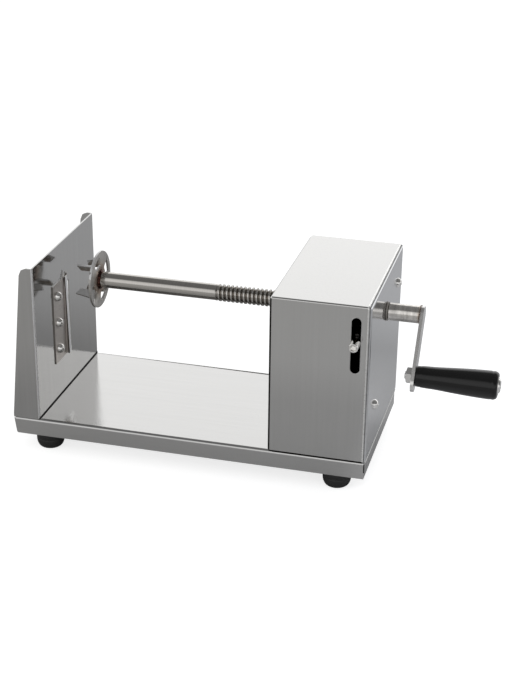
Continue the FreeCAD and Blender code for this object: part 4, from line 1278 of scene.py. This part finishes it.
def bolt_profile(length):
    """Shank with a chamfered end, and a low dished head."""
    head = length - BOLT_HEAD_H
    return [(0, HAIR_R), (0, 3.2), (0.8, 4.0), (head, 4.0), (head, 6.2), (head + 0.5, 6.2),
            (head + 1.2, 5.6), (length, 4.4), (length, 3.4), (head + 1.0, 2.8),
            (head + 0.9, HAIR_R)]


def washer_profile(thick):
    return [(0, 4.05), (0, 8.2), (0.3, 8.5), (thick - 0.4, 8.5), (thick, 8.1), (thick, 4.05)]


add_piece("grip_bolt_dished", grip_part("grip_bolt", bolt_profile, ring=False, sharp_angle=25),
          "fastener_steel", "spindle", "fastener_steel", "grip_bolt")
add_piece("grip_washer_rounded", grip_part("grip_end_washer", washer_profile, sharp_angle=25),
          "fastener_steel", "spindle", "fastener_steel", "grip_end_washer")
add_piece("grip_nut_hex", nut_mesh("grip_nut", GRIP_Y, GRIP_Z, M8_FLATS, 4 * MM,
                                   turn=math.radians(5)),
          "fastener_steel", "spindle", "fastener_steel", "grip_nut")

# %% [markdown]
# ## Rubber feet
#
# Each foot is a moulded dome with its screw sunk in the tread. Its side starts upright under the
# tray and rolls in to the tread, with a fine moulding line round it.

# %% Feet
FOOT_TREAD = 0.66             # share of the radius
FOOT_SHOULDER = 0.5           # share of the height that stays upright
FOOT_RECESS_R = 4.8
FOOT_BORE_R = 2.0
MOULD_LINE = 0.25


def foot_mesh(node):
    """Profile downwards: upright side, quarter of an ellipse to the tread, recess and bore."""
    lo, hi = box_of(node)
    radius, height = (hi[0] - lo[0]) / 2 / MM, (hi[2] - lo[2]) / MM
    upright = height * FOOT_SHOULDER
    side = [(upright + (height - upright) * math.sin(a),
             radius * (FOOT_TREAD + (1 - FOOT_TREAD) * math.cos(a)))
            for a in np.linspace(0, np.pi / 2, 12)]
    profile = [(0, FOOT_BORE_R), (0, radius * 0.95), (0.8, radius), (upright * 0.8, radius),
               (upright * 0.84, radius - MOULD_LINE), (upright * 0.88, radius), *side,
               (height, FOOT_RECESS_R), (height * 0.5, FOOT_RECESS_R), (height * 0.5, FOOT_BORE_R)]
    return profile_mesh((*middle_of(node)[:2], hi[2]), DOWN, profile)


for corner in ("front_left", "back_left", "front_right", "back_right"):
    add_piece("foot_dome_" + corner, foot_mesh("foot_" + corner), "foot_rubber", "base",
              "foot_rubber", "foot_" + corner)

# %% [markdown]
# ## The slot's rolled edge
#
# The slot in the cover is punched and its edge is rounded over: a fine bead along a straight-
# sided loop with round ends.

# %% Slot edge
SLOT_W = 9.0 * MM
SLOT_H = 52.5 * MM
PIN_RISE = 2.8 * MM           # the pin at rest, above the slot's middle
SLOT_MID = np.array([PIN_AT[0], COVER_LO[1], PIN_AT[2] - PIN_RISE])
EDGE_BEAD = 0.32 * MM


def slot_edge_mesh(steps=160, columns=10):
    """Swept bead: the outline turns by an angle on its ends and runs straight between them."""
    r, run = SLOT_W / 2, SLOT_H - SLOT_W
    end = np.pi * r
    s = 2 * (run + end) * np.arange(steps) / steps
    turn = (np.clip(s, 0, end) + np.clip(s - end - run, 0, end)) / r
    rise = run / 2 - np.clip(s - end, 0, run) + np.clip(s - 2 * end - run, 0, run)
    out = np.stack([np.cos(turn), np.zeros(steps), np.sin(turn)], axis=1)
    line = out * r + np.array(UP) * rise[:, None] + SLOT_MID
    around = angles(columns)[None, :, None]
    offset = np.cos(around) * out[:, None, :] + np.sin(around) * np.array(TO_FRONT)
    faces = grid_faces(steps, columns, ring=True)[:, ::-1].tolist()
    return mesh_from(line[:, None, :] + EDGE_BEAD * offset, faces, 60)


add_piece("slot_edge", slot_edge_mesh(), "cover_steel", "base", "cover_steel")

# %% Finish
bpy.context.scene.view_settings.view_transform = "Standard"
